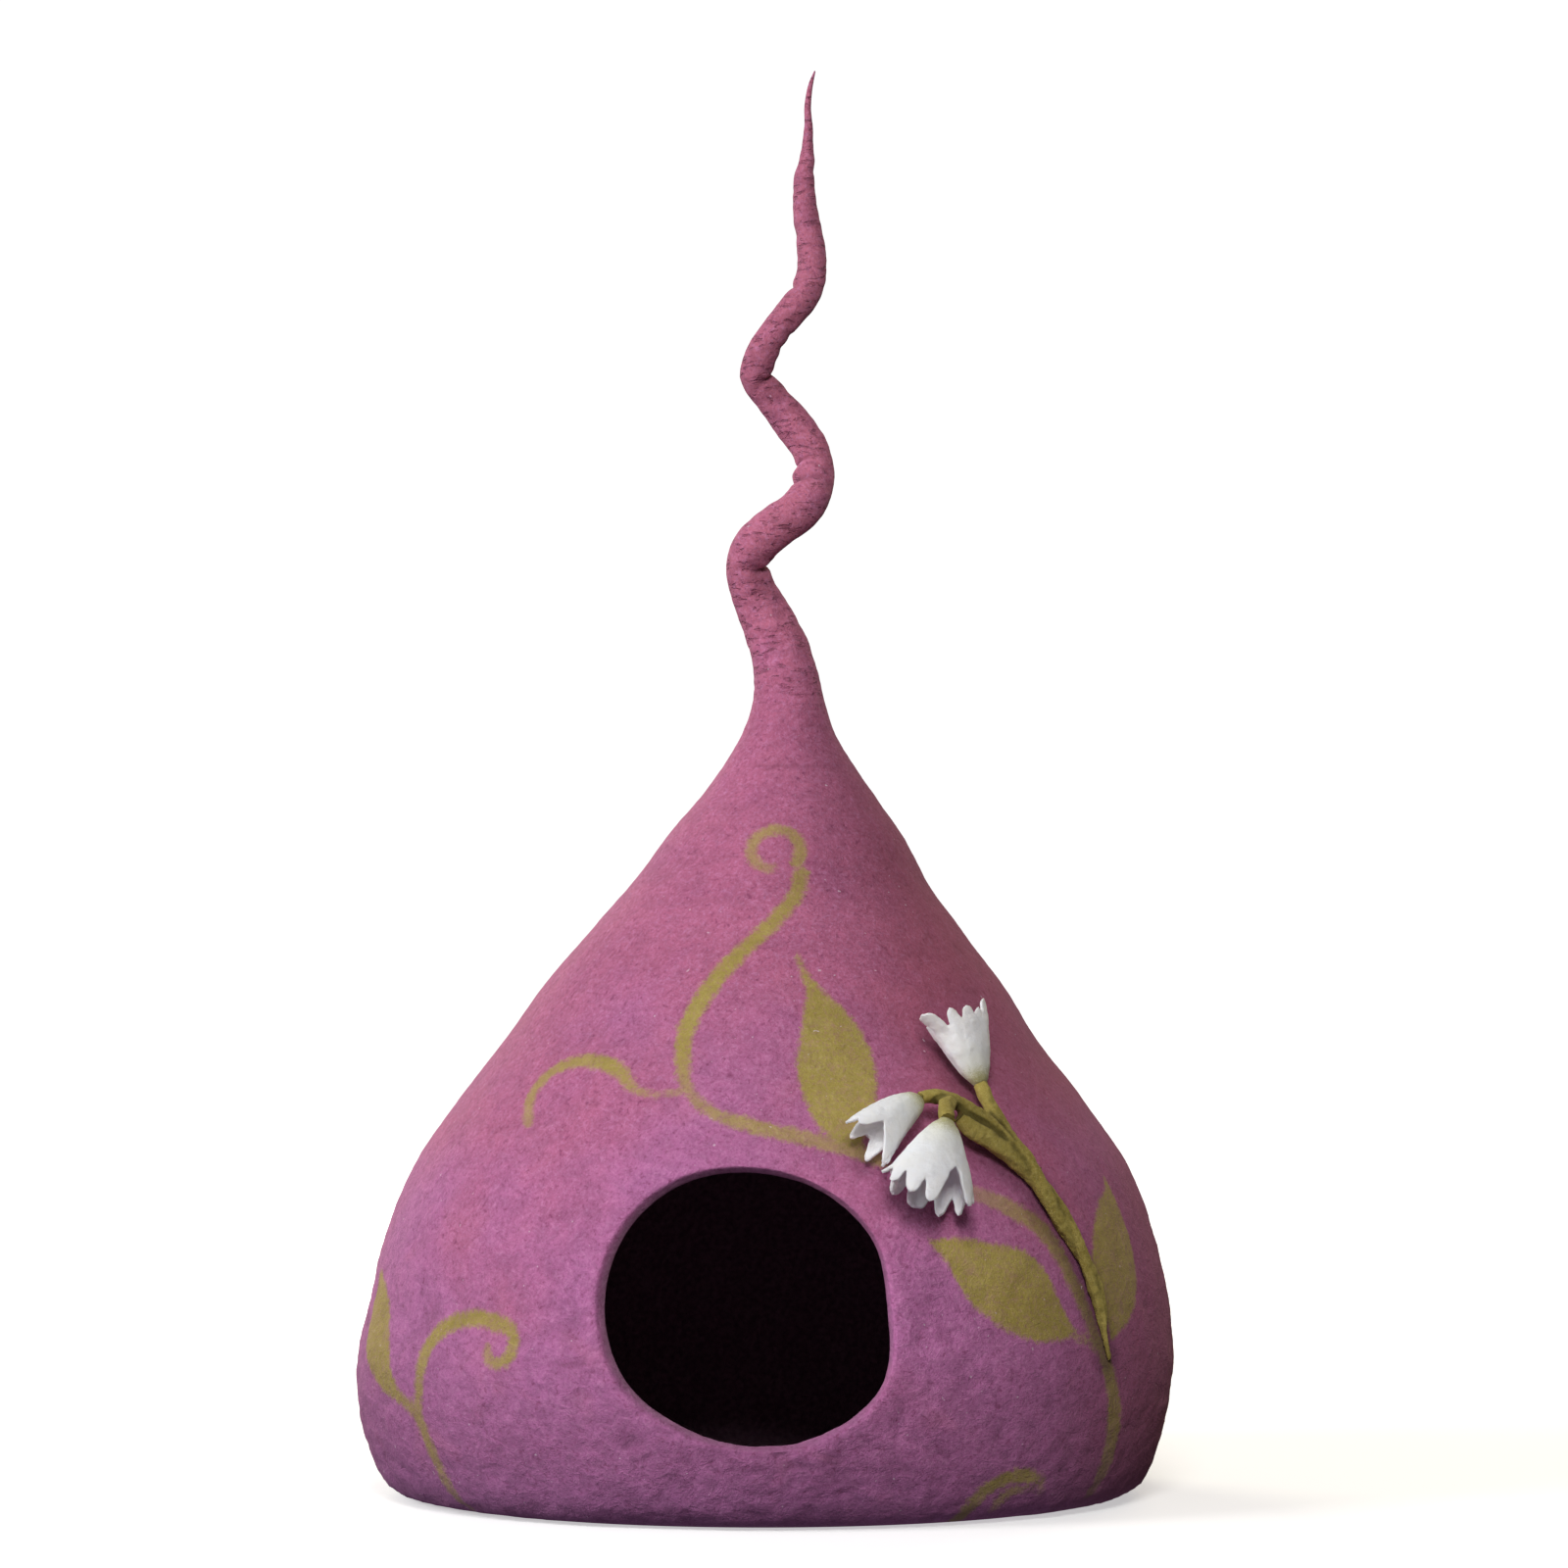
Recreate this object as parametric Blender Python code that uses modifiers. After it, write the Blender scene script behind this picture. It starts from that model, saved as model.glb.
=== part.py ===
"""Felt cat cave with a twisted tail and felted bell flowers.

Metres, +Z up. The origin is the middle of the base, on the floor. The round
doorway faces -Y, and +X is to the right of somebody who looks at the doorway.
The tables below are in millimetres and degrees. An azimuth is measured round
the cave from the doorway side (-Y), positive toward +X.
"""
import math

import bmesh
import bpy
import numpy as np

MM = 0.001

# ---------------------------------------------------------------- sizes
WALL = 8.0            # felt of the cave, all round
ROOM_TOP = 411.0      # the hollow closes just above this height
AROUND_BODY = 40      # facets round the cave
AROUND_NECK = 20      # facets round the neck
AROUND_TAIL = 10      # facets round the tail
NECK_FROM = 400.0     # sections start to lean with the tail here ...
NECK_TO = 470.0       # ... and follow it fully from here
BELL_FELT = 1.8       # felt of a flower
FIT_GAP = 0.4         # space kept between two pieces

# Cave: one row for each horizontal section, from the floor to the neck.
CAVE = [
    # lean_x, lean_y, height, half_width, half_depth
    (0.0, 0.0, 0.0, 189.0, 179.0),
    (0.0, 0.0, 3.0, 203.5, 193.0),
    (0.0, 0.0, 11.0, 213.5, 203.0),
    (0.0, 0.0, 28.0, 221.0, 210.5),
    (0.0, 0.0, 51.0, 226.5, 216.0),
    (1.0, 0.0, 79.0, 228.0, 218.0),
    (3.0, 0.0, 111.0, 223.0, 213.0),
    (3.0, 0.0, 146.0, 215.0, 206.0),
    (3.5, 0.0, 181.0, 201.5, 193.0),
    (3.5, 0.0, 216.0, 178.5, 172.0),
    (3.5, 0.0, 251.0, 151.0, 147.0),
    (5.0, 0.0, 286.0, 127.0, 123.0),
    (7.0, 0.0, 316.0, 103.0, 101.0),
    (9.0, 0.0, 341.0, 83.0, 82.0),
    (12.0, 0.0, 369.0, 65.0, 64.0),
    (13.5, 0.0, 393.0, 47.0, 47.0),
    (13.5, 0.0, 411.0, 34.5, 34.5),
    (13.5, 0.0, 424.0, 27.0, 27.0),
    (13.5, 0.0, 439.0, 21.5, 21.5),
]

# Tail: one row for each bend or change of thickness of the felted rope. It
# winds like a slack corkscrew and thins to a wisp.
TAIL = [
    # x, y, height, radius
    (12.0, 2.0, 458.0, 18.5),
    (8.0, 6.0, 475.0, 17.0),
    (1.0, 9.0, 492.0, 15.5),
    (-6.5, 6.0, 507.0, 13.6),
    (-10.0, -1.0, 520.0, 12.2),
    (-5.0, -8.0, 532.0, 12.4),
    (8.0, -11.0, 543.0, 12.4),
    (20.0, -8.0, 552.0, 12.1),
    (26.5, -2.0, 563.0, 11.6),
    (28.5, 5.0, 575.0, 11.1),
    (25.5, 9.0, 589.0, 10.5),
    (15.5, 11.0, 603.5, 10.7),
    (4.5, 8.0, 616.5, 9.2),
    (-5.0, 1.0, 628.5, 8.7),
    (-2.0, -6.0, 640.5, 8.6),
    (5.0, -9.0, 651.5, 8.4),
    (15.0, -8.0, 664.5, 8.7),
    (23.0, -4.0, 675.0, 8.8),
    (26.5, 0.0, 687.0, 8.7),
    (26.5, 3.0, 701.5, 8.4),
    (24.0, 4.0, 718.5, 7.9),
    (22.5, 3.0, 738.0, 6.6),
    (24.0, 2.0, 755.0, 4.4),
    (25.0, 2.0, 771.5, 2.8),
    (24.5, 1.0, 782.5, 2.2),
    (26.0, 1.0, 795.0, 1.6),
    (28.5, 1.0, 803.5, 0.7),
]

# Doorway: how far its throat reaches from its middle, seen from the front.
DOOR_X = -8.3
DOOR_Z = 115.0
DOORWAY = [
    # direction (anticlockwise from +X), reach
    (0, 73.1), (30, 73.9), (60, 71.1), (90, 69.8), (120, 72.1), (150, 73.8),
    (180, 74.0), (210, 73.0), (240, 68.8), (270, 69.6), (300, 74.8), (330, 79.8),
]
# Rolled lip of the doorway, from the outer face of the felt to the inner one.
LIP = [
    # depth, growth
    (0.0, 6.5), (0.8, 3.6), (2.2, 1.5), (4.3, 0.0), (6.3, 1.2), (8.3, 4.0),
]

# Flowers. A crown is where a flower sits on its stalk, and a mouth is the
# middle of its toothed opening. The standoff is measured out from the cave.
FLOWERS = {
    "bell_upper": dict(crown=(38.1, 225, 10.0), mouth=(36.2, 257.5, 19.5), length=41.0,
                       teeth=(1.0, 0.86, 1.0, 0.84, 0.95), tooth=12.0, squash=0.78, turn=20),
    "bell_left": dict(crown=(24.6, 215, 17.0), mouth=(13.7, 190.5, 16.5), length=44.0,
                      teeth=(1.0, 0.9, 0.96, 0.85, 1.0), tooth=13.0, squash=0.74, turn=4),
    "bell_lower": dict(crown=(26.0, 199, 25.0), mouth=(21.0, 166.5, 19.0), length=46.0,
                       teeth=(1.0, 0.88, 0.97, 0.9, 1.0, 0.86), tooth=14.0, squash=0.66, turn=12),
}
# Side of each flower as a table: distance from the crown, radius there.
FLOWER_SIDE = {
    "bell_upper": [(0.0, 0.0), (1.0, 4.6), (4.0, 7.0), (10.0, 9.5), (18.0, 12.5), (26.0, 15.5), (33.0, 18.0), (42.0, 22.0)],
    "bell_left": [(0.0, 0.0), (1.0, 4.0), (4.0, 6.6), (10.0, 9.5), (18.0, 12.2), (28.0, 14.2), (37.0, 15.6), (46.0, 17.5)],
    "bell_lower": [(0.0, 0.0), (1.0, 4.2), (4.0, 7.2), (10.0, 10.6), (18.0, 13.8), (26.0, 16.2), (36.0, 19.0), (47.0, 24.5)],
}

# Green stem, felted into one piece: a main stem and two short stalks.
STEM_MAIN = [
    # azimuth, height, standoff of the middle line, radius
    (27.0, 214, 17.5, 4.2),
    (29.0, 213, 17.3, 4.6),
    (31.3, 211, 15.5, 5.2),
    (34.0, 207, 12.5, 6.2),
    (36.6, 203, 9.6, 6.9),
    (38.6, 197, 8.0, 7.0),
    (40.2, 188, 7.0, 6.3),
    (42.4, 178, 6.2, 5.6),
    (44.9, 164, 5.8, 5.2),
    (47.5, 149, 5.4, 4.8),
    (49.7, 137, 5.1, 4.5),
    (51.3, 123, 4.5, 3.9),
    (52.2, 112, 3.7, 3.1),
    (52.3, 103, 2.9, 2.3),
    (52.5, 94, 2.3, 1.7),
    (53.3, 85, 1.7, 1.1),
]
STALK_UPPER = [
    # azimuth, height, standoff of the middle line, radius
    (38.9, 219, 9.6, 3.9),
    (38.9, 213, 9.5, 4.2),
    (39.3, 204, 8.3, 4.5),
]
STALK_LOWER = [
    # azimuth, height, standoff of the middle line, radius
    (27.2, 207, 22.0, 3.7),
    (29.0, 211, 18.5, 4.0),
    (31.0, 210, 15.5, 4.2),
]


# ---------------------------------------------------------------- geometry
def smooth_rows(rows, steps):
    """A cubic through every row of a table, with that many steps a row."""
    table = np.array(rows, float)
    gap = np.sqrt(np.sqrt((np.diff(table, axis=0) ** 2).sum(1)))
    slope = np.zeros_like(table)
    slope[0] = (table[1] - table[0]) / gap[0]
    slope[-1] = (table[-1] - table[-2]) / gap[-1]
    for i in range(1, len(table) - 1):
        before = (table[i] - table[i - 1]) / gap[i - 1]
        after = (table[i + 1] - table[i]) / gap[i]
        slope[i] = (before * gap[i] + after * gap[i - 1]) / (gap[i - 1] + gap[i])
    out = []
    for i in range(len(table) - 1):
        for k in range(steps):
            s = k / steps
            out.append((2 * s**3 - 3 * s**2 + 1) * table[i]
                       + (s**3 - 2 * s**2 + s) * gap[i] * slope[i]
                       + (3 * s**2 - 2 * s**3) * table[i + 1]
                       + (s**3 - s**2) * gap[i] * slope[i + 1])
    out.append(table[-1])
    return np.array(out)


def smooth_loop(pairs, degrees):
    """A reach that goes smoothly round through (direction, reach) pairs."""
    reach = np.array([p[1] for p in pairs])
    n = len(reach)
    at = (degrees / 360.0 * n) % n
    i = int(at)
    s = at - i
    p0, p1, p2, p3 = (reach[(i + k) % n] for k in (-1, 0, 1, 2))
    return 0.5 * (2 * p1 + (p2 - p0) * s + (2 * p0 - 5 * p1 + 4 * p2 - p3) * s**2
                  + (3 * p1 - p0 - 3 * p2 + p3) * s**3)


FORM = smooth_rows(CAVE + [(x, y, z, r, r) for x, y, z, r in TAIL], 8)
CAVE_FORM = FORM[: 8 * len(CAVE)]


def section_at(height):
    """lean_x, lean_y, height, half_width and half_depth at a height."""
    return np.array([np.interp(height, CAVE_FORM[:, 2], CAVE_FORM[:, c]) for c in range(5)])


def on_cave(azimuth, height, standoff=0.0):
    """A point over the cave's outer face, and the way out of the face there."""
    def face(angle, z):
        lean_x, lean_y, _, half_w, half_d = section_at(z)
        return np.array([lean_x + half_w * math.sin(angle), lean_y - half_d * math.cos(angle), z])
    angle = math.radians(azimuth)
    step = 0.5
    round_it = face(angle + 0.01, height) - face(angle - 0.01, height)
    up_it = face(angle, height + step) - face(angle, height - step)
    out = np.cross(round_it, up_it)
    out /= np.linalg.norm(out)
    return face(angle, height) + out * standoff, out


def front_y(x, z):
    """Y of the cave's outer face at a point of its front."""
    lean_x, lean_y, _, half_w, half_d = section_at(z)
    return lean_y - half_d * math.sqrt(max(0.0, 1 - ((x - lean_x) / half_w) ** 2))


def section_ring(row, along, around):
    """The ellipse of one section, tipped to the tail's way in the tail."""
    x, y, z, half_w, half_d = row
    tip = min(1.0, max(0.0, (z - NECK_FROM) / (NECK_TO - NECK_FROM)))
    tip = tip * tip * (3 - 2 * tip)
    normal = (1 - tip) * np.array([0, 0, 1.0]) + tip * along
    normal /= np.linalg.norm(normal)
    side = np.array([1.0, 0, 0]) - normal[0] * normal
    side /= np.linalg.norm(side)
    back = np.cross(normal, side)
    turn = np.arange(around) * 2 * math.pi / around
    return np.array([x, y, z]) + half_w * np.outer(np.cos(turn), side) + half_d * np.outer(np.sin(turn), back)


def loft(name, rings, material, collection):
    """A closed solid through rings of points; a ring may have half the
    points of the one under it."""
    bm = bmesh.new()
    loops = [[bm.verts.new([c * MM for c in point]) for point in ring] for ring in rings]
    bm.faces.new(list(reversed(loops[0])))
    bm.faces.new(loops[-1])
    for low, high in zip(loops, loops[1:]):
        n, m = len(low), len(high)
        if n == m:
            for i in range(n):
                bm.faces.new((low[i], low[(i + 1) % n], high[(i + 1) % n], high[i]))
        else:
            for i in range(m):
                a, b, c = low[2 * i], low[2 * i + 1], low[(2 * i + 2) % n]
                d, e = high[i], high[(i + 1) % m]
                bm.faces.new((a, b, d))
                bm.faces.new((b, e, d))
                bm.faces.new((b, c, e))
    return put(name, bm, material, collection)


def put(name, bm, material, collection):
    mesh = bpy.data.meshes.new(name)
    bm.normal_update()
    bm.to_mesh(mesh)
    bm.free()
    mesh.shade_smooth()
    obj = bpy.data.objects.new(name, mesh)
    if material:
        mesh.materials.append(material)
    collection.objects.link(obj)
    return obj


def tube_mesh(name, points, radii, collection):
    """A felted strand: a bevelled curve along points, made a closed mesh."""
    curve = bpy.data.curves.new(name + "_line", "CURVE")
    curve.dimensions = "3D"
    curve.bevel_depth = MM
    curve.bevel_resolution = 2
    curve.use_fill_caps = True
    line = curve.splines.new("POLY")
    line.points.add(len(points) - 1)
    for p, where, radius in zip(line.points, points, radii):
        p.co = (*[c * MM for c in where], 1.0)
        p.radius = radius
    strand = bpy.data.objects.new(name + "_line", curve)
    collection.objects.link(strand)
    seen = strand.evaluated_get(bpy.context.evaluated_depsgraph_get())
    mesh = bpy.data.meshes.new_from_object(seen)
    bm = bmesh.new()
    bm.from_mesh(mesh)
    bmesh.ops.remove_doubles(bm, verts=bm.verts, dist=0.00001)
    bmesh.ops.recalc_face_normals(bm, faces=bm.faces)
    bm.to_mesh(mesh)
    bm.free()
    solid = bpy.data.objects.new(name, mesh)
    solid.matrix_world = strand.matrix_world
    bpy.data.objects.remove(strand)
    collection.objects.link(solid)
    return solid


def material(name, colour, roughness):
    mat = bpy.data.materials.new(name)
    mat.use_nodes = True
    shader = mat.node_tree.nodes["Principled BSDF"]
    shader.inputs["Base Color"].default_value = (*colour, 1.0)
    shader.inputs["Roughness"].default_value = roughness
    shader.inputs["Metallic"].default_value = 0.0
    return mat


def boolean(target, cutter, operation):
    mod = target.modifiers.new(cutter.name, "BOOLEAN")
    mod.operation = operation
    mod.solver = "EXACT"
    mod.object = cutter
    cutter.hide_render = True
    cutter.display_type = "WIRE"


# ---------------------------------------------------------------- the pieces
def make_cave(parts, cutters, felt):
    """The felt itself: cave, neck and tail in one piece, hollow below."""
    rows = smooth_rows(CAVE + [(x, y, z, r, r) for x, y, z, r in TAIL], 2)
    along = np.gradient(rows[:, :3], axis=0)
    along /= np.linalg.norm(along, axis=1)[:, None]
    rings = []
    for row, way in zip(rows, along):
        around = AROUND_BODY if row[2] < NECK_FROM else AROUND_NECK if row[2] < NECK_TO else AROUND_TAIL
        rings.append(section_ring(row, way, around))
    cave = loft("felt_shell", rings, felt, parts)

    # the room inside, one wall thickness in from the outer face
    inner = []
    outer = np.array([row for row in CAVE if row[2] <= ROOM_TOP], float)
    grow = np.gradient(outer[:, [3, 2]], axis=0)
    for row, (d_radius, d_height) in zip(outer, grow):
        length = math.hypot(d_radius, d_height)
        shrink = WALL * d_height / length
        lift = WALL * d_radius / length
        z = max(WALL, row[2] + lift)
        inner.append((row[0], row[1], z, row[3] - shrink, row[4] - shrink))
    top = inner[-1]
    inner.append((top[0], top[1], top[2] + 9.0, top[3] * 0.72, top[4] * 0.72))
    inner.append((top[0], top[1], top[2] + 13.0, top[3] * 0.35, top[4] * 0.35))
    up = np.array([0, 0, 1.0])
    room = loft("room_cutter", [section_ring(row, up, 32) for row in inner], None, cutters)
    boolean(cave, room, "DIFFERENCE")

    # the doorway, with its rolled lip
    directions = np.arange(0, 360, 10)

    def door_ring(growth, depth=None, flat_y=None):
        ring = []
        for d in directions:
            reach = smooth_loop(DOORWAY, d) + growth
            x = DOOR_X + reach * math.cos(math.radians(d))
            z = DOOR_Z + reach * math.sin(math.radians(d))
            ring.append((x, flat_y if depth is None else front_y(x, z) + depth, z))
        return ring

    door = [door_ring(LIP[-1][1], flat_y=-130.0)]
    door += [door_ring(growth, depth=depth) for depth, growth in reversed(LIP)]
    door += [door_ring(LIP[0][1], flat_y=-260.0)]
    doorway = loft("doorway_cutter", door, None, cutters)
    boolean(cave, doorway, "DIFFERENCE")
    return cave


def flower_axis(flower):
    """Crown, unit way to the mouth, and two unit sides (along, off the cave)."""
    crown, out = on_cave(*flower["crown"])
    mouth, _ = on_cave(*flower["mouth"])
    axis = mouth - crown
    axis /= np.linalg.norm(axis)
    off = out - axis * float(out @ axis)
    off /= np.linalg.norm(off)
    return crown, axis, np.cross(off, axis), off


def make_flower(name, flower, parts, white):
    """A cupped bell of thin felt with a rim of blunt teeth."""
    crown, axis, along, off = flower_axis(flower)
    side = smooth_rows(FLOWER_SIDE[name], 6)
    count = len(flower["teeth"])
    per_tooth = 6
    around = count * per_tooth
    steps = (0.03, 0.10, 0.25, 0.45, 0.62, 0.78, 0.90, 1.0)
    bm = bmesh.new()
    tip = bm.verts.new([c * MM for c in crown])
    rings = []
    for step in steps:
        ring = []
        for i in range(around):
            tooth = flower["teeth"][i // per_tooth]
            across = abs(2 * (i % per_tooth) / per_tooth - 1)
            height = 1 - across ** 1.6
            rim = flower["length"] - flower["tooth"] * (1 - height * tooth)
            s = step * rim
            radius = float(np.interp(s, side[:, 0], side[:, 1]))
            turn = math.radians(flower["turn"]) + 2 * math.pi * i / around
            point = crown + axis * s + radius * (math.cos(turn) * along + flower["squash"] * math.sin(turn) * off)
            ring.append(bm.verts.new([c * MM for c in point]))
        rings.append(ring)
    for i in range(around):
        bm.faces.new((tip, rings[0][(i + 1) % around], rings[0][i]))
    for low, high in zip(rings, rings[1:]):
        for i in range(around):
            j = (i + 1) % around
            bm.faces.new((low[i], low[j], high[j], high[i]))
    obj = put(name, bm, white, parts)
    thick = obj.modifiers.new("felt", "SOLIDIFY")
    thick.thickness = BELL_FELT * MM
    thick.offset = -1.0
    return obj


def make_stem(parts, cutters, green):
    """Main stem and stalks, felted together into one branching piece."""
    def route(table, flower, flower_end_radius):
        crown, axis, _, _ = flower_axis(FLOWERS[flower])
        rows = [(*(crown - axis * (FIT_GAP + 0.1)), flower_end_radius),
                (*(crown - axis * 3.0), flower_end_radius)]
        rows += [(*on_cave(a, z, off)[0], r) for a, z, off, r in table]
        return smooth_rows(rows, 2)
    main = route(STEM_MAIN, "bell_left", 3.4)
    upper = route(STALK_UPPER, "bell_upper", 3.6)
    lower = route(STALK_LOWER, "bell_lower", 3.4)
    stem = tube_mesh("stem", main[:, :3], main[:, 3], parts)
    stem.data.materials.append(green)
    for name, line in (("stalk_upper", upper), ("stalk_lower", lower)):
        strand = tube_mesh(name + "_joiner", line[:, :3], line[:, 3], cutters)
        boolean(stem, strand, "UNION")
    return stem


def main():
    for obj in list(bpy.data.objects):
        bpy.data.objects.remove(obj)
    parts = bpy.data.collections.new("felt_cat_cave")
    cutters = bpy.data.collections.new("cutters")
    bpy.context.scene.collection.children.link(parts)
    bpy.context.scene.collection.children.link(cutters)
    felt = material("mauve_felt", (0.37, 0.13, 0.22), 0.95)
    white = material("white_felt", (0.84, 0.85, 0.82), 0.92)
    green = material("olive_felt", (0.20, 0.16, 0.05), 0.95)
    make_cave(parts, cutters, felt)
    for name, flower in FLOWERS.items():
        make_flower(name, flower, parts, white)
    make_stem(parts, cutters, green)


main()
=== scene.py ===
"""The looks of a felt cat cave: thick mauve wool felted in one piece, with olive
vines and leaves laid into its face, a twisted tail, and white bell flowers on an
olive stem.

Metres, +Z up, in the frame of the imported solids. The tables are in millimetres
and degrees. An azimuth is measured round the cave from the doorway side (-Y),
positive toward +X.
"""
import math

import bmesh
import bpy
import numpy as np
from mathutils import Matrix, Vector, kdtree, noise


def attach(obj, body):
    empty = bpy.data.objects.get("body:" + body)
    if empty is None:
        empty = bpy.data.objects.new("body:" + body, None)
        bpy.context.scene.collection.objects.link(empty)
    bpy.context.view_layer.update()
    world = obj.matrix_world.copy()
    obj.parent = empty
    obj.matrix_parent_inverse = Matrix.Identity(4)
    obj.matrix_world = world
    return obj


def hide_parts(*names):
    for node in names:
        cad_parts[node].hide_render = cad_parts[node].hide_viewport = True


MM = 0.001
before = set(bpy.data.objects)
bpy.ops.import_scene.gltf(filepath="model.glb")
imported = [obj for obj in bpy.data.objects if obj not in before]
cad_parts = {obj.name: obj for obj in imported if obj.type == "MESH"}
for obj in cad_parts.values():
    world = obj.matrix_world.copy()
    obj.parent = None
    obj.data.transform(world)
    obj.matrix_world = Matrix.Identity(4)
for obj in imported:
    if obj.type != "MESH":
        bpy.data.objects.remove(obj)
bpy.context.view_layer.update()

# ---------------------------------------------------------------- sizes
WALL = 8.0
ROOM_TOP = 411.0
NECK_FROM, NECK_TO = 400.0, 470.0

CAVE = [
    # lean_x, lean_y, height, half_width, half_depth
    (0.0, 0.0, 0.0, 189.0, 179.0),
    (0.0, 0.0, 3.0, 203.5, 193.0),
    (0.0, 0.0, 11.0, 213.5, 203.0),
    (0.0, 0.0, 28.0, 221.0, 210.5),
    (0.0, 0.0, 51.0, 226.5, 216.0),
    (1.0, 0.0, 79.0, 228.0, 218.0),
    (3.0, 0.0, 111.0, 223.0, 213.0),
    (3.0, 0.0, 146.0, 215.0, 206.0),
    (3.5, 0.0, 181.0, 201.5, 193.0),
    (3.5, 0.0, 216.0, 178.5, 172.0),
    (3.5, 0.0, 251.0, 151.0, 147.0),
    (5.0, 0.0, 286.0, 127.0, 123.0),
    (7.0, 0.0, 316.0, 103.0, 101.0),
    (9.0, 0.0, 341.0, 83.0, 82.0),
    (12.0, 0.0, 369.0, 65.0, 64.0),
    (13.5, 0.0, 393.0, 47.0, 47.0),
    (13.5, 0.0, 411.0, 34.5, 34.5),
    (13.5, 0.0, 424.0, 27.0, 27.0),
    (13.5, 0.0, 439.0, 21.5, 21.5),
]
TAIL = [
    # x, y, height, radius
    (12.0, 2.0, 458.0, 18.5),
    (8.0, 6.0, 475.0, 17.0),
    (1.0, 9.0, 492.0, 15.5),
    (-6.5, 6.0, 507.0, 13.6),
    (-10.0, -1.0, 520.0, 12.2),
    (-5.0, -8.0, 532.0, 12.4),
    (8.0, -11.0, 543.0, 12.4),
    (20.0, -8.0, 552.0, 12.1),
    (26.5, -2.0, 563.0, 11.6),
    (28.5, 5.0, 575.0, 11.1),
    (25.5, 9.0, 589.0, 10.5),
    (15.5, 11.0, 603.5, 10.7),
    (4.5, 8.0, 616.5, 9.2),
    (-5.0, 1.0, 628.5, 8.7),
    (-2.0, -6.0, 640.5, 8.6),
    (5.0, -9.0, 651.5, 8.4),
    (15.0, -8.0, 664.5, 8.7),
    (23.0, -4.0, 675.0, 8.8),
    (26.5, 0.0, 687.0, 8.7),
    (26.5, 3.0, 701.5, 8.4),
    (24.0, 4.0, 718.5, 7.9),
    (22.5, 3.0, 738.0, 6.6),
    (24.0, 2.0, 755.0, 4.4),
    (25.0, 2.0, 771.5, 2.8),
    (24.5, 1.0, 782.5, 2.2),
    (26.0, 1.0, 795.0, 1.6),
    (28.5, 1.0, 803.5, 0.7),
]
# Wool columns round the form, halved as it narrows: column count, least radius.
COLUMNS = [(352, 108.0), (176, 50.0), (88, 20.5), (44, 3.0), (22, 0.0)]
FRONT_FINER = 0.28    # how much closer together the columns are in front

DOOR_X, DOOR_Z = -8.3, 115.0
DOORWAY = [
    # direction (anticlockwise from +X), reach of the throat
    (0, 73.1), (30, 73.9), (60, 71.1), (90, 69.8), (120, 72.1), (150, 73.8),
    (180, 74.0), (210, 73.0), (240, 68.8), (270, 69.6), (300, 74.8), (330, 79.8),
]
# How far the cut edge of the wall spreads out round the throat.
LIP_SPREAD = [
    # direction, spread
    (0, 2.4), (45, 2.8), (90, 3.8), (135, 5.4), (180, 5.8), (225, 5.0), (270, 3.4), (315, 2.6),
]
# The cut edge: from the outer face through the rounded corner to the throat.
LIP_PROFILE = [
    # share of the spread, share of the wall's thickness
    (1.0, 0.0), (0.90, 0.015), (0.80, 0.06), (0.70, 0.14), (0.58, 0.26), (0.46, 0.40),
    (0.34, 0.54), (0.22, 0.68), (0.12, 0.80), (0.04, 0.91), (0.0, 1.0),
]
LIP_IN = 3.0    # rounding of the throat's inner edge

# Creases and knuckles of the felted rope, and of the neck under it.
TAIL_DENTS = [
    # height, azimuth, depth (less than 0 is a bump), width, spread in degrees
    (522.5, 90, 3.0, 2.6, 70),
    (514.0, 75, -0.9, 4.0, 60),
    (531.0, 100, -0.7, 4.5, 60),
    (579.5, -90, 2.0, 2.4, 65),
    (571.5, -88, -1.7, 4.2, 60),
    (563.5, -80, 2.6, 2.2, 75),
    (566.0, 10, 0.9, 1.6, 55),
    (573.5, 0, 0.8, 1.5, 60),
    (581.0, -15, 0.8, 1.6, 60),
    (588.0, -5, 0.6, 1.5, 60),
    (559.5, 25, -0.6, 2.5, 60),
    (595.0, -60, -0.5, 4.0, 60),
    (627.5, 90, 3.0, 2.2, 75),
    (635.0, 80, -0.8, 3.4, 60),
    (619.5, 95, -0.8, 3.6, 60),
    (647.0, 90, 0.9, 1.8, 60),
    (654.5, 90, 0.9, 2.0, 60),
    (675.0, -90, 1.0, 2.0, 60),
    (681.0, -90, -0.6, 3.0, 60),
    (712.0, -90, 0.6, 2.5, 60),
    (727.0, 60, 0.4, 2.0, 90),
    (744.0, -80, -0.9, 3.5, 80),
    (736.5, -20, 0.5, 1.6, 100),
    (746.5, 90, 0.8, 2.2, 70),
    (753.5, 90, -0.8, 2.6, 70),
    (759.0, -60, 0.6, 2.2, 90),
    (765.5, 90, 0.5, 1.8, 80),
    (770.0, -80, -0.5, 2.2, 90),
    (775.5, 60, 0.4, 1.6, 100),
    (405.5, 0, 0.7, 1.4, 38),
    (409.5, 5, -0.7, 3.5, 45),
    (447.0, -45, 0.5, 1.8, 60),
    (453.5, -10, 0.6, 1.7, 70),
    (460.5, -20, 0.7, 1.6, 60),
    (467.0, -5, 0.6, 1.6, 70),
    (473.5, -15, 0.8, 1.8, 60),
    (481.0, 0, 0.7, 1.8, 60),
    (490.0, -25, 0.6, 2.0, 60),
]

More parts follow.
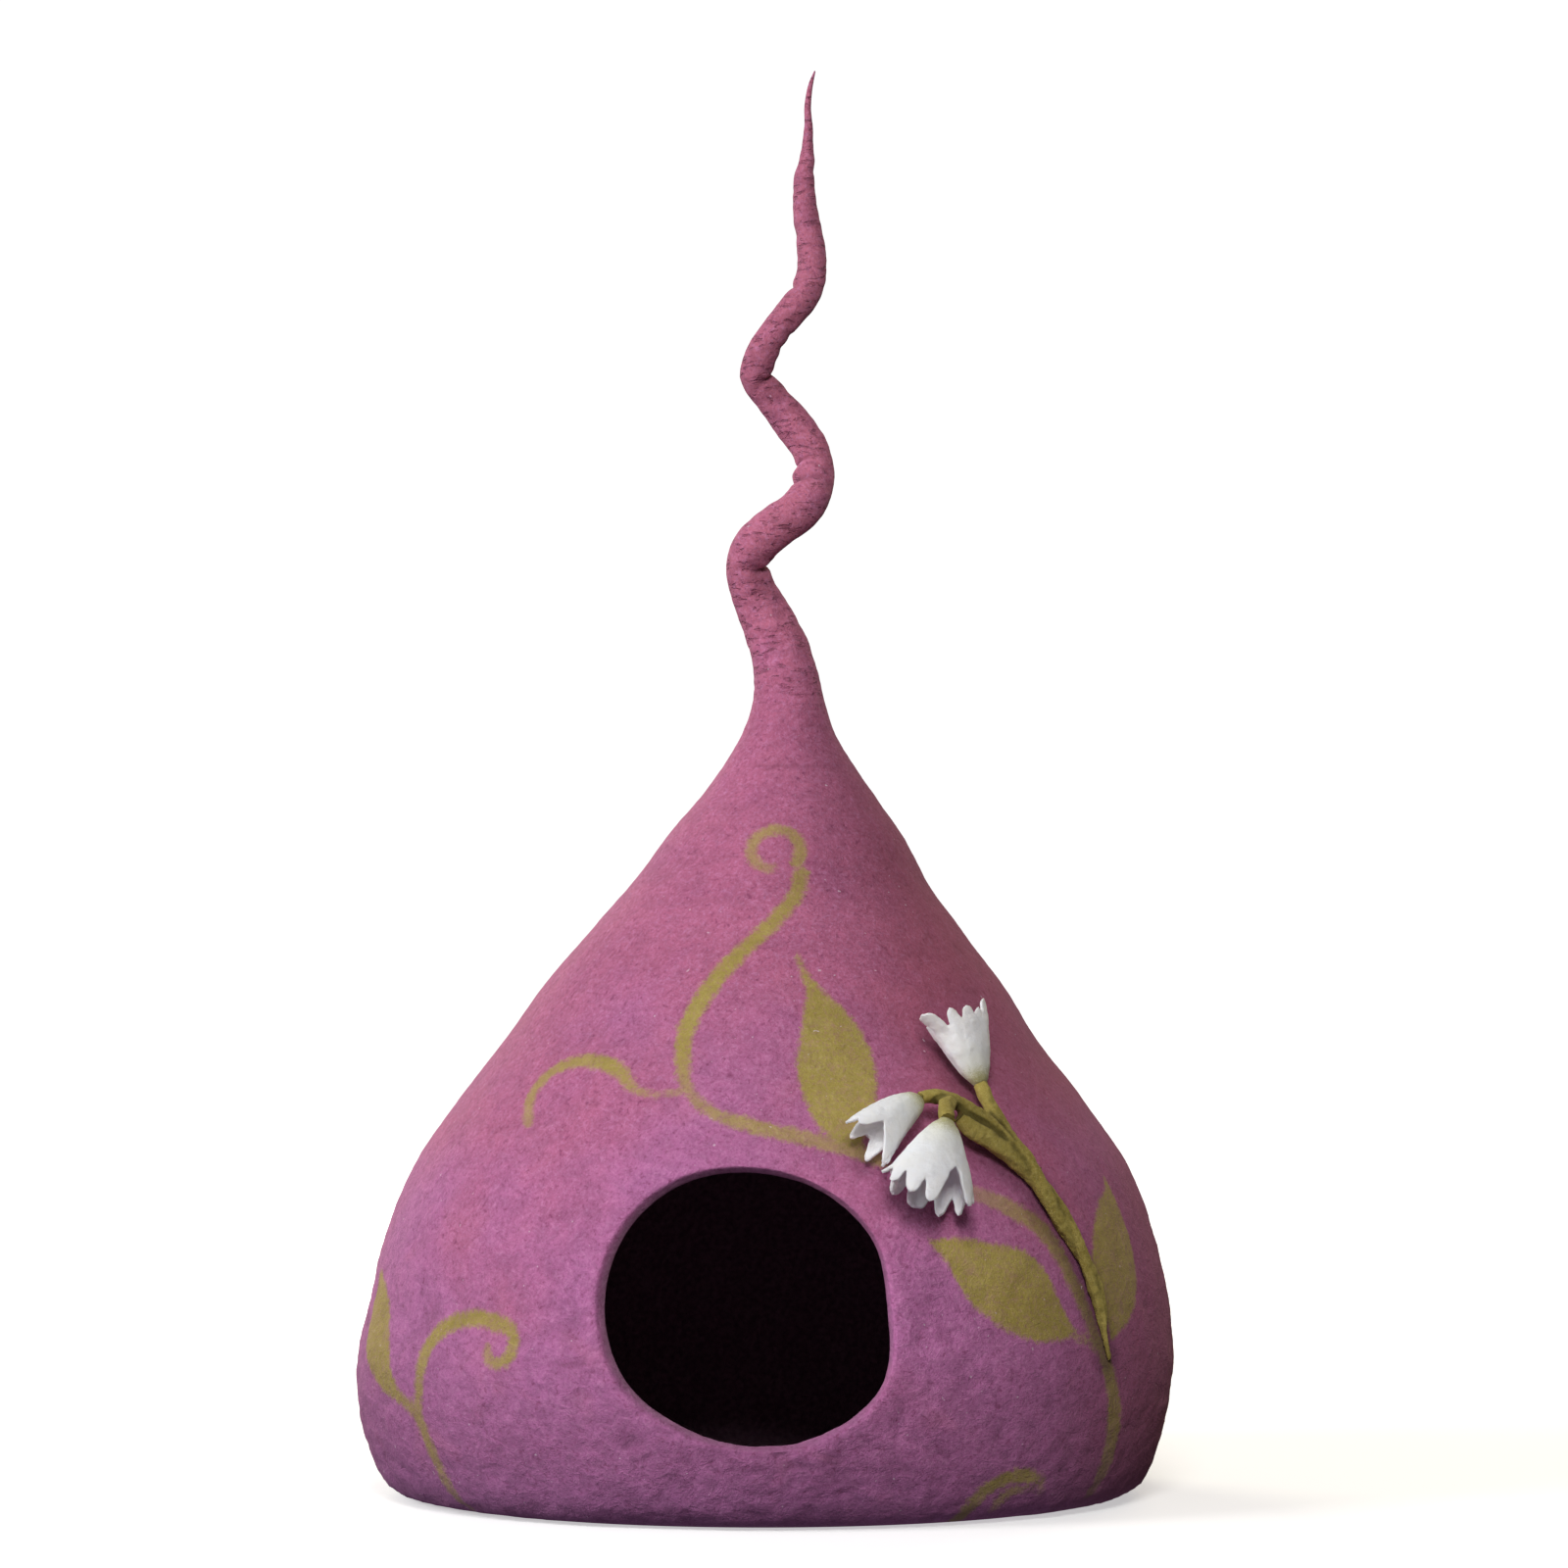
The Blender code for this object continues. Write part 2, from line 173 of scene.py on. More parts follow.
# Vines of olive wool laid into the face. Cover is how thick the wool lies.
VINES = {
    "long_vine": [
        # azimuth, height, half_width, cover
        (17.5, 191, 4.6, 0.8), (12.5, 197.5, 4.8, 0.8), (4.5, 204, 4.6, 0.8), (-3.8, 210, 4.6, 0.85),
        (-10.0, 216.5, 3.6, 0.8), (-14.6, 227, 3.3, 0.75), (-17.0, 243, 4.4, 0.95), (-17.8, 260, 5.2, 1.0),
        (-15.4, 279, 5.3, 1.0), (-9.5, 300, 5.0, 1.0), (0.0, 320, 4.6, 0.95), (6.2, 334, 4.4, 0.95), (8.2, 345, 4.0, 0.9),
    ],
    "left_runner": [
        (-15.2, 226.5, 2.0, 0.7), (-22.0, 225.4, 2.3, 0.7), (-25.4, 228.4, 3.1, 0.85), (-29.0, 236, 4.2, 0.95),
        (-33.5, 240.8, 4.7, 1.0), (-39.5, 242.3, 4.4, 0.95), (-45.3, 238, 4.1, 0.9), (-48.0, 229, 3.9, 0.85), (-47.2, 218, 3.8, 0.8), (-45.2, 210, 3.4, 0.7),
    ],
    "vine_under_flowers": [
        (27.5, 178, 3.4, 0.25), (32.0, 173.5, 4.4, 0.5), (37.1, 166.5, 5.0, 0.7), (42.1, 156, 5.5, 0.82),
        (45.4, 139, 5.0, 0.85), (48.3, 116, 4.6, 0.85), (51.0, 93, 4.4, 0.85),
    ],
    "vine_to_floor": [
        (51.0, 95, 4.2, 0.85), (53.3, 80, 5.4, 0.95), (54.8, 66, 6.2, 0.95), (55.9, 52, 6.6, 0.95),
        (56.3, 38, 6.6, 0.9), (56.2, 24, 6.0, 0.8), (55.2, 12, 4.6, 0.6),
    ],
    "leaf_stalk": [
        (45.2, 98.5, 2.2, 0.7), (48.4, 94.5, 2.2, 0.7), (51.4, 89, 2.4, 0.8),
    ],
    "floor_curl": [
        (30.0, 2, 4.2, 0.9), (31.0, 12, 4.4, 0.95), (33.0, 20.5, 4.4, 1.0), (36.2, 25.2, 4.3, 1.0), (39.4, 25.0, 4.0, 1.0), (41.8, 20.6, 3.4, 0.8), (42.4, 15.5, 2.4, 0.4),
    ],
    "floor_curl_inner": [
        (39.6, 18.0, 2.0, 0.5), (37.4, 17.6, 3.0, 0.85), (35.6, 13.6, 3.2, 0.85), (35.2, 8.0, 2.8, 0.6),
    ],
    "left_vine": [
        (-49.4, 4, 3.0, 0.7), (-51.0, 19, 3.6, 0.85), (-52.8, 38, 4.1, 0.9), (-54.6, 52, 4.3, 0.9), (-57.0, 58.5, 3.6, 0.9), (-60.0, 63, 3.4, 0.95),
    ],
    "left_curl_foot": [
        (-54.3, 50, 3.4, 0.85), (-54.2, 68, 4.2, 0.9), (-53.4, 84, 5.0, 0.95), (-51.3, 97, 5.0, 1.0), (-47.3, 105, 4.6, 1.0), (-43.0, 107.4, 4.5, 1.0), (-39.6, 105, 4.4, 1.0),
    ],
}
# Curls that end a vine: a spiral about a middle point, in the plane of the face.
CURLS = {
    # azimuth, height, start_angle, end_angle, start_radius, end_radius, half_width, end_half_width, cover
    "long_vine_curl": (-3.9, 357.6, -32, 262, 14.8, 12.2, 3.9, 3.2, 0.85),
    "left_curl_tip": (-38.6, 93.0, 100, -175, 12.6, 6.6, 4.3, 2.8, 0.95),
}
# Leaves: a midrib, and how far the leaf reaches on each side of it.
LEAVES = {
    "leaf_over_door": [
        # azimuth, height, reach_left, reach_right
        (14.2, 193, 1.5, 1.5), (13.4, 201, 8.0, 7.0), (12.9, 211, 15.5, 13.5), (12.7, 224, 20.0, 19.0), (12.9, 239, 21.5, 21.5),
        (12.6, 253, 18.0, 20.0), (11.6, 266, 12.0, 14.5), (10.3, 277, 6.2, 7.0), (8.8, 285, 2.8, 2.8), (7.0, 294, 1.4, 1.4), (6.0, 300, 0.4, 0.4),
    ],
    "leaf_right_of_door": [
        (46.0, 98.5, 1.5, 2.0), (42.6, 102.5, 7.5, 14.5), (39.4, 108, 13.5, 23.5), (35.6, 117, 17.0, 28.5), (32.0, 127, 17.0, 24.5),
        (28.8, 137, 12.5, 15.5), (26.0, 144, 6.0, 8.0), (23.4, 149, 1.4, 1.4),
    ],
    "leaf_right_edge": [
        (54.4, 95, 2.0, 2.0), (55.9, 104, 11.0, 9.0), (57.4, 114, 20.0, 17.0), (58.8, 128, 24.5, 22.0), (60.2, 143, 22.5, 21.5),
        (61.9, 158, 16.0, 16.0), (63.3, 168, 7.5, 7.5), (64.4, 179, 0.6, 0.6),
    ],
    "leaf_left_edge": [
        (-59.5, 60, 1.5, 1.5), (-61.6, 66, 5.5, 5.0), (-64.2, 74, 11.0, 9.0), (-67.4, 86, 17.0, 14.5), (-70.8, 99, 20.0, 16.5),
        (-73.6, 111, 15.5, 12.5), (-75.8, 120, 7.5, 6.0), (-77.6, 128, 1.0, 1.0),
    ],
}

# Green wool strands that are felted into one stem.
STRANDS = {
    "arch": [
        # azimuth, height, standoff, radius
        (23.9, 214.2, 16.6, 3.2), (26.2, 215.2, 17.1, 3.9), (28.7, 214.2, 16.8, 4.1), (31.1, 211.8, 15.2, 4.0), (33.7, 208.6, 13.0, 4.0),
        (36.2, 204.4, 10.8, 4.1), (38.0, 199.4, 9.0, 4.3), (39.4, 193.0, 7.6, 4.4), (41.0, 184.0, 6.6, 4.2),
    ],
    "lower_lobe": [
        (30.2, 206.6, 14.0, 3.0), (31.2, 203.8, 12.8, 4.2), (32.6, 200.6, 11.2, 4.8), (34.8, 197.0, 9.6, 5.0), (37.0, 193.0, 8.2, 4.9), (39.0, 188.6, 7.2, 4.5),
        (40.6, 183.5, 6.4, 3.8), (42.0, 177.5, 5.8, 2.8), (43.4, 170.0, 5.2, 1.6),
    ],
    "to_upper_flower": [
        (38.7, 225.0, 9.8, 3.6), (38.6, 221.0, 9.7, 4.0), (38.6, 216.0, 9.3, 3.8), (38.9, 211.0, 8.8, 3.9), (39.4, 204.6, 8.0, 4.1), (40.2, 197.0, 7.2, 4.4),
        (41.4, 188.6, 6.6, 4.5), (42.8, 180.0, 6.2, 4.2),
    ],
    "to_lower_flower": [
        (25.5, 196.8, 29.0, 3.8), (25.8, 200.4, 27.4, 4.3), (26.7, 205.0, 23.8, 4.3), (28.2, 209.8, 19.4, 4.0), (29.8, 212.2, 16.6, 3.6), (31.8, 210.8, 14.6, 3.2),
    ],
}
# Below the flowers two strands twist round each other.
TWIST = [
    # azimuth, height, standoff, radius
    (39.4, 192.0, 7.2, 6.6), (40.9, 187.0, 6.9, 6.5), (42.2, 179.4, 6.3, 6.1), (43.8, 171.0, 5.8, 5.8), (45.2, 162.4, 5.4, 5.5), (46.6, 153.4, 5.1, 5.2),
    (47.9, 145.0, 4.9, 4.9), (49.2, 135.0, 4.6, 4.6), (50.3, 124.0, 4.2, 4.2), (51.1, 113.4, 3.5, 3.6), (51.6, 104.0, 2.8, 2.9), (52.0, 96.0, 2.2, 2.2),
    (52.6, 89.0, 1.6, 1.5), (53.4, 83.0, 1.1, 0.8),
]
TWIST_PITCH = 92.0

# Bell flowers. Angles run round the flower's own axis; 90 faces away from the cave.
FLOWERS = {
    "upper": dict(node="bell_upper", crown=(38.7, 223.8, 9.8), mouth=(37.6, 252.5, 19.0), squash=0.80, cup=33.0, lean=0.0,
                  side=[(0, 0), (0.6, 3.4), (3, 5.6), (7, 7.8), (10, 9.3), (16, 11.7), (20, 13.0), (26, 14.8), (30, 16.2), (36, 18.0), (44, 20.0), (52, 21.5)],
                  petals=[
                      # angle, tip_angle, length, half_width, curl, tip_width
                      (12, 4, 43.0, 5.6, 7.0, 0.95), (48, 46, 42.0, 5.0, 1.0, 0.62), (78, 76, 41.5, 5.6, -0.8, 0.62), (104, 106, 39.5, 5.2, -1.0, 0.62), (340, 336, 38.5, 5.6, 1.0, 0.7),
                      (132, 129, 44.5, 5.8, -0.4, 0.76), (168, 168, 40.0, 6.4, -1.0, 0.6), (218, 218, 39.5, 6.6, -1.0, 0.6), (276, 276, 40.5, 6.6, -1.0, 0.6),
                  ]),
    "left": dict(node="bell_left", crown=(24.1, 214.2, 16.8), mouth=(13.8, 191.9, 17.0), squash=0.78, cup=33.0, lean=-1.6,
                 side=[(0, 0), (0.6, 3.4), (3, 5.6), (7, 7.6), (12, 9.2), (19, 10.8), (30, 13.0), (42, 15.7), (52, 17.5)],
                 petals=[
                     (150, 157, 47.5, 7.2, -0.2, 0.56), (116, 122, 45.0, 7.2, -0.4, 0.55), (62, 30, 50.0, 8.2, 0.6, 0.42), (22, 8, 46.0, 6.0, 0.2, 0.50),
                     (230, 231, 43.5, 6.0, -1.2, 0.50), (286, 289, 45.5, 6.0, -0.4, 0.45), (332, 338, 45.0, 5.6, 0.2, 0.45),
                 ]),
    "lower": dict(node="bell_lower", crown=(25.6, 198.0, 29.0), mouth=(21.1, 164.4, 20.0), squash=0.66, cup=37.0, lean=0.0, notch=(66, 28.5, 13),
                  side=[(0, 0), (0.5, 3.0), (3.2, 5.8), (5.9, 8.2), (11.2, 11.5), (16.3, 14.2), (21.7, 16.8), (27.2, 19.5), (32.6, 22.0), (39.9, 24.4), (47, 25.8), (55, 26.6)],
                  petals=[
                      (184, 181, 39.5, 6.0, 3.2, 0.60), (152, 150, 46.0, 6.4, 0.8, 0.62), (122, 121, 50.0, 6.8, -0.4, 0.60), (94, 96, 52.5, 6.4, -1.0, 0.56), (40, 38, 45.5, 6.6, 0.6, 0.60),
                      (10, 12, 41.0, 5.8, 0.4, 0.55), (328, 326, 45.5, 6.2, 0.4, 0.52), (300, 300, 48.5, 6.4, -1.0, 0.52), (268, 266, 47.5, 8.0, 0.2, 0.70), (230, 232, 45.5, 7.0, 0.0, 0.64),
                  ]),
}
BELL_FELT = 1.9


# ---------------------------------------------------------------- the form
def smooth_rows(rows, steps):
    """A cubic through every row of a table, with that many steps a row."""
    table = np.array(rows, float)
    gap = np.sqrt(np.sqrt((np.diff(table, axis=0) ** 2).sum(1)))
    slope = np.zeros_like(table)
    slope[0] = (table[1] - table[0]) / gap[0]
    slope[-1] = (table[-1] - table[-2]) / gap[-1]
    for i in range(1, len(table) - 1):
        before = (table[i] - table[i - 1]) / gap[i - 1]
        after = (table[i + 1] - table[i]) / gap[i]
        slope[i] = (before * gap[i] + after * gap[i - 1]) / (gap[i - 1] + gap[i])
    out = []
    for i in range(len(table) - 1):
        for k in range(steps):
            s = k / steps
            out.append((2 * s**3 - 3 * s**2 + 1) * table[i] + (s**3 - 2 * s**2 + s) * gap[i] * slope[i]
                       + (3 * s**2 - 2 * s**3) * table[i + 1] + (s**3 - s**2) * gap[i] * slope[i + 1])
    out.append(table[-1])
    return np.array(out)


def smooth_loop(pairs, degrees):
    """A reach that goes smoothly round through (direction, reach) pairs."""
    reach = np.array([p[1] for p in pairs])
    n = len(reach)
    at = (np.asarray(degrees, float) / 360.0 * n) % n
    i = at.astype(int)
    s = at - i
    p0, p1, p2, p3 = (reach[(i + k) % n] for k in (-1, 0, 1, 2))
    return 0.5 * (2 * p1 + (p2 - p0) * s + (2 * p0 - 5 * p1 + 4 * p2 - p3) * s**2 + (3 * p1 - p0 - 3 * p2 + p3) * s**3)


def unit(v):
    return v / np.linalg.norm(v, axis=-1, keepdims=True)


def smooth01(x):
    x = np.clip(x, 0, 1)
    return x * x * (3 - 2 * x)


_rows = smooth_rows(CAVE + [(x, y, z, r, r) for x, y, z, r in TAIL], 24)
_along = unit(np.gradient(_rows[:, :3], axis=0))
_tip = smooth01((_rows[:, 2] - NECK_FROM) / (NECK_TO - NECK_FROM))[:, None]
_normal = unit((1 - _tip) * np.array([0, 0, 1.0]) + _tip * _along)
_side = unit(np.array([1.0, 0, 0]) - _normal[:, :1] * _normal)
_back = np.cross(_normal, _side)
FORM = np.hstack([_rows, _side, _back])


def place_at(height):
    return np.interp(height, FORM[:, 2], np.arange(len(FORM)))


def face(place, azimuth):
    """Points of the smooth outer face."""
    place = np.atleast_1d(np.asarray(place, float))
    a = np.radians(np.atleast_1d(np.asarray(azimuth, float)))
    i = np.clip(place.astype(int), 0, len(FORM) - 2)
    f = (place - i)[:, None]
    row = FORM[i] * (1 - f) + FORM[i + 1] * f
    return row[:, :3] + (row[:, 3] * np.sin(a))[:, None] * row[:, 5:8] - (row[:, 4] * np.cos(a))[:, None] * row[:, 8:11]


def face_normal(place, azimuth):
    place = np.clip(np.atleast_1d(np.asarray(place, float)), 0.3, len(FORM) - 1.3)
    azimuth = np.atleast_1d(np.asarray(azimuth, float))
    round_it = face(place, azimuth + 0.3) - face(place, azimuth - 0.3)
    up_it = face(place + 0.3, azimuth) - face(place - 0.3, azimuth)
    return unit(np.cross(round_it, up_it))


def on_cave(azimuth, height, standoff=0.0):
    k = place_at(height)
    out = face_normal(k, azimuth)
    return face(k, azimuth) + out * np.atleast_1d(standoff)[:, None], out


def at_front(x, z):
    """Place and azimuth on the front of the cave for a point seen from the front."""
    k = place_at(z)
    i = np.clip(k.astype(int), 0, len(FORM) - 2)
    f = k - i
    lean = FORM[i, 0] * (1 - f) + FORM[i + 1, 0] * f
    wide = FORM[i, 3] * (1 - f) + FORM[i + 1, 3] * f
    return k, np.degrees(np.arcsin(np.clip((x - lean) / wide, -1, 1)))


def grain(points, period, offset=0.0, octaves=1, step=0.5):
    """Smooth noise about 0, one value a point; period in mm."""
    out = np.empty(len(points))
    scaled = points / period + offset
    for i, p in enumerate(scaled):
        v = Vector(p)
        out[i] = noise.noise(v) if octaves == 1 else noise.fractal(v, 1.0, 2.0, octaves) * step
    return out


# ---------------------------------------------------------------- mesh making
class Skin:
    """Collects rings of points and the faces between them."""

    def __init__(self):
        self.points, self.notes, self.faces, self.count = [], [], [], 0

    def add(self, points, **notes):
        points = np.asarray(points, float)
        n = len(points)
        table = np.zeros((n, 4))
        for c, key in enumerate(("place", "azimuth", "inside", "lip")):
            table[:, c] = notes.get(key, 0.0)
        self.points.append(points)
        self.notes.append(table)
        ids = np.arange(self.count, self.count + n)
        self.count += n
        return ids

    def quad(self, *ids):
        self.faces.append(tuple(int(i) for i in ids))

    def bridge(self, low, high, flip=False, skip=()):
        """Faces between two closed rings; one may have half the points."""
        n, m = len(low), len(high)
        new = []
        if n == m:
            new = [(low[i], low[(i + 1) % n], high[(i + 1) % n], high[i]) for i in range(n) if i not in skip]
        elif n == 2 * m:
            for i in range(m):
                a, b, c = low[2 * i], low[2 * i + 1], low[(2 * i + 2) % n]
                d, e = high[i], high[(i + 1) % m]
                new += [(a, b, d), (b, e, d), (b, c, e)]
        elif m == 2 * n:
            for i in range(n):
                a, b, c = high[2 * i], high[2 * i + 1], high[(2 * i + 2) % m]
                d, e = low[i], low[(i + 1) % n]
                new += [(b, a, d), (b, d, e), (c, b, e)]
        else:
            raise ValueError("rings don't match")
        self.faces += [tuple(int(v) for v in (reversed(f) if flip else f)) for f in new]

    def fan(self, ring, tip, flip=False):
        n = len(ring)
        for i in range(n):
            f = (ring[i], ring[(i + 1) % n], tip)
            self.faces.append(tuple(int(v) for v in (reversed(f) if flip else f)))

    def cap(self, ring, flip=False):
        self.faces.append(tuple(int(v) for v in (reversed(ring) if flip else ring)))

    def arrays(self):
        """Points, notes and faces without the points that no face uses."""
        points, notes = np.vstack(self.points), np.vstack(self.notes)
        used = np.zeros(len(points), bool)
        for f in self.faces:
            used[list(f)] = True
        new_id = np.cumsum(used) - 1
        return points[used], notes[used], [tuple(int(new_id[v]) for v in f) for f in self.faces]


def put(name, points, faces, material):
    """An object from points in mm."""
    mesh = bpy.data.meshes.new(name)
    mesh.from_pydata((np.asarray(points) * MM).tolist(), [], faces)
    mesh.update()
    mesh.shade_smooth()
    obj = bpy.data.objects.new(name, mesh)
    bpy.context.scene.collection.objects.link(obj)
    if material:
        mesh.materials.append(material)
    return obj


def coords(mesh):
    co = np.empty(len(mesh.vertices) * 3, np.float32)
    mesh.vertices.foreach_get("co", co)
    return co.reshape(-1, 3).astype(float) / MM


def normals(mesh):
    no = np.empty(len(mesh.vertices) * 3, np.float32)
    mesh.vertices.foreach_get("normal", no)
    return no.reshape(-1, 3).astype(float)


def set_coords(mesh, points):
    mesh.vertices.foreach_set("co", (np.asarray(points) * MM).astype(np.float32).ravel())
    mesh.update()


def attribute(mesh, name, values):
    layer = mesh.attributes.new(name, "FLOAT", "POINT")
    layer.data.foreach_set("value", np.asarray(values, np.float32))


def applied(obj):
    """The object's mesh with its modifiers applied."""
    seen = obj.evaluated_get(bpy.context.evaluated_depsgraph_get())
    mesh = bpy.data.meshes.new_from_object(seen)
    obj.modifiers.clear()
    old = obj.data
    obj.data = mesh
    bpy.data.meshes.remove(old)
    mesh.shade_smooth()
    return obj


def hollows(mesh, rounds):
    """How far each point lies below the relaxed surface, in mm."""
    p, n = coords(mesh), normals(mesh)
    ends = np.empty(len(mesh.edges) * 2, np.int32)
    mesh.edges.foreach_get("vertices", ends)
    a, b = ends.reshape(-1, 2).T
    count = len(p)
    share = np.maximum(np.bincount(a, minlength=count) + np.bincount(b, minlength=count), 1)
    q = p.copy()
    for _ in range(rounds):
        for c in range(3):
            total = np.bincount(a, q[b, c], count) + np.bincount(b, q[a, c], count)
            q[:, c] = 0.4 * q[:, c] + 0.6 * total / share
    return ((q - p) * n).sum(1)


# ---------------------------------------------------------------- shader helpers
class Tree:
    """Shorthand for building a material's nodes."""

    def __init__(self, name, roughness, sheen=0.0, sheen_roughness=0.5, sheen_tint=(1, 1, 1)):
        self.material = bpy.data.materials.new(name)
        self.material.use_nodes = True
        self.nodes = self.material.node_tree.nodes
        self.links = self.material.node_tree.links
        self.shader = self.nodes["Principled BSDF"]
        self.shader.inputs["Roughness"].default_value = roughness
        self.shader.inputs["Specular IOR Level"].default_value = 0.12
        self.shader.inputs["Sheen Weight"].default_value = sheen
        self.shader.inputs["Sheen Roughness"].default_value = sheen_roughness
        self.shader.inputs["Sheen Tint"].default_value = (*sheen_tint, 1)
        where = self.node("ShaderNodeTexCoord").outputs["Object"]
        self.mm = self.vector("SCALE", where, scale=1000.0)

    def node(self, kind, inputs=None, **settings):
        n = self.nodes.new(kind)
        for key, value in settings.items():
            setattr(n, key, value)
        for key, value in (inputs or {}).items():
            if isinstance(value, bpy.types.NodeSocket):
                self.links.new(value, n.inputs[key])
            else:
                n.inputs[key].default_value = value
        return n

    def vector(self, operation, a, b=None, scale=None):
        n = self.node("ShaderNodeVectorMath", {0: a}, operation=operation)
        if b is not None:
            if isinstance(b, bpy.types.NodeSocket):
                self.links.new(b, n.inputs[1])
            else:
                n.inputs[1].default_value = b
        if scale is not None:
            n.inputs["Scale"].default_value = scale
        return n.outputs[0]

    def math(self, operation, a, b=0.0, c=0.0, clamp=False):
        return self.node("ShaderNodeMath", {0: a, 1: b, 2: c}, operation=operation, use_clamp=clamp).outputs[0]

    def noise(self, period, detail=2.0, rough=0.5, distortion=0.0, vector=None, colour=False):
        n = self.node("ShaderNodeTexNoise", {"Vector": vector or self.mm, "Scale": 1.0 / period, "Detail": detail,
                                             "Roughness": rough, "Distortion": distortion})
        return n.outputs[1 if colour else 0]

    def ramp(self, value, low, high, to_low=0.0, to_high=1.0):
        return self.node("ShaderNodeMapRange", {"Value": value, "From Min": low, "From Max": high, "To Min": to_low,
                                                "To Max": to_high}, interpolation_type="SMOOTHSTEP").outputs[0]

    def mix(self, factor, a, b, blend="MIX"):
        n = self.node("ShaderNodeMix", data_type="RGBA", blend_type=blend, clamp_factor=True)
        for i, value in ((0, factor), (6, a), (7, b)):
            if isinstance(value, bpy.types.NodeSocket):
                self.links.new(value, n.inputs[i])
            else:
                n.inputs[i].default_value = value if i == 0 else (*value, 1)
        return n.outputs[2]

    def attribute(self, name):
        return self.node("ShaderNodeAttribute", attribute_name=name).outputs["Fac"]

    def fibres(self, length, width, turns, bend=5.0):
        """Short crossing wool fibres: stretched noise in several directions."""
        sway = self.vector("SUBTRACT", self.noise(length * 1.6, 1.0, colour=True), (0.5, 0.5, 0.5))
        swayed = self.vector("ADD", self.mm, self.vector("SCALE", sway, scale=bend))
        best = None
        for turn in turns:
            turned = self.node("ShaderNodeMapping", {"Vector": swayed, "Rotation": turn, "Scale": (length, width, width)}, vector_type="TEXTURE")
            value = self.noise(1.0, 1.0, 0.5, vector=turned.outputs[0])
            best = value if best is None else self.math("MAXIMUM", best, value)
        return best

    def creases(self, period, width, distortion=1.2):
        """Thin wandering lines, 1 on the line."""
        wave = self.math("ABSOLUTE", self.math("SUBTRACT", self.noise(period, 2.0, 0.5, distortion), 0.5))
        return self.ramp(wave, width, 0.0)

    def shade(self, colour, factor):
        """The colour made darker or lighter."""
        n = self.node("ShaderNodeVectorMath", {0: colour}, operation="SCALE")
        self.links.new(factor, n.inputs["Scale"])
        return n.outputs[0]

    def bump(self, height, distance, strength=1.0, normal=None):
        inputs = {"Height": height, "Distance": distance * MM, "Strength": strength}
        if normal is not None:
            inputs["Normal"] = normal
        return self.node("ShaderNodeBump", inputs).outputs[0]


def srgb(r, g, b):
    """Linear colour of an 8-bit display colour."""
    return tuple((c / 255 / 12.92) if c / 255 <= 0.04045 else ((c / 255 + 0.055) / 1.055) ** 2.4 for c in (r, g, b))


# Fibre directions, as turns of the X axis: six ways, evenly spread.
WAYS = [(0.0, 0.0, 0.5), (0.0, 1.1, 0.0), (0.4, -0.9, 0.3), (0.0, 0.35, 1.6), (0.0, -0.4, 2.4), (0.8, 0.75, 1.1)]


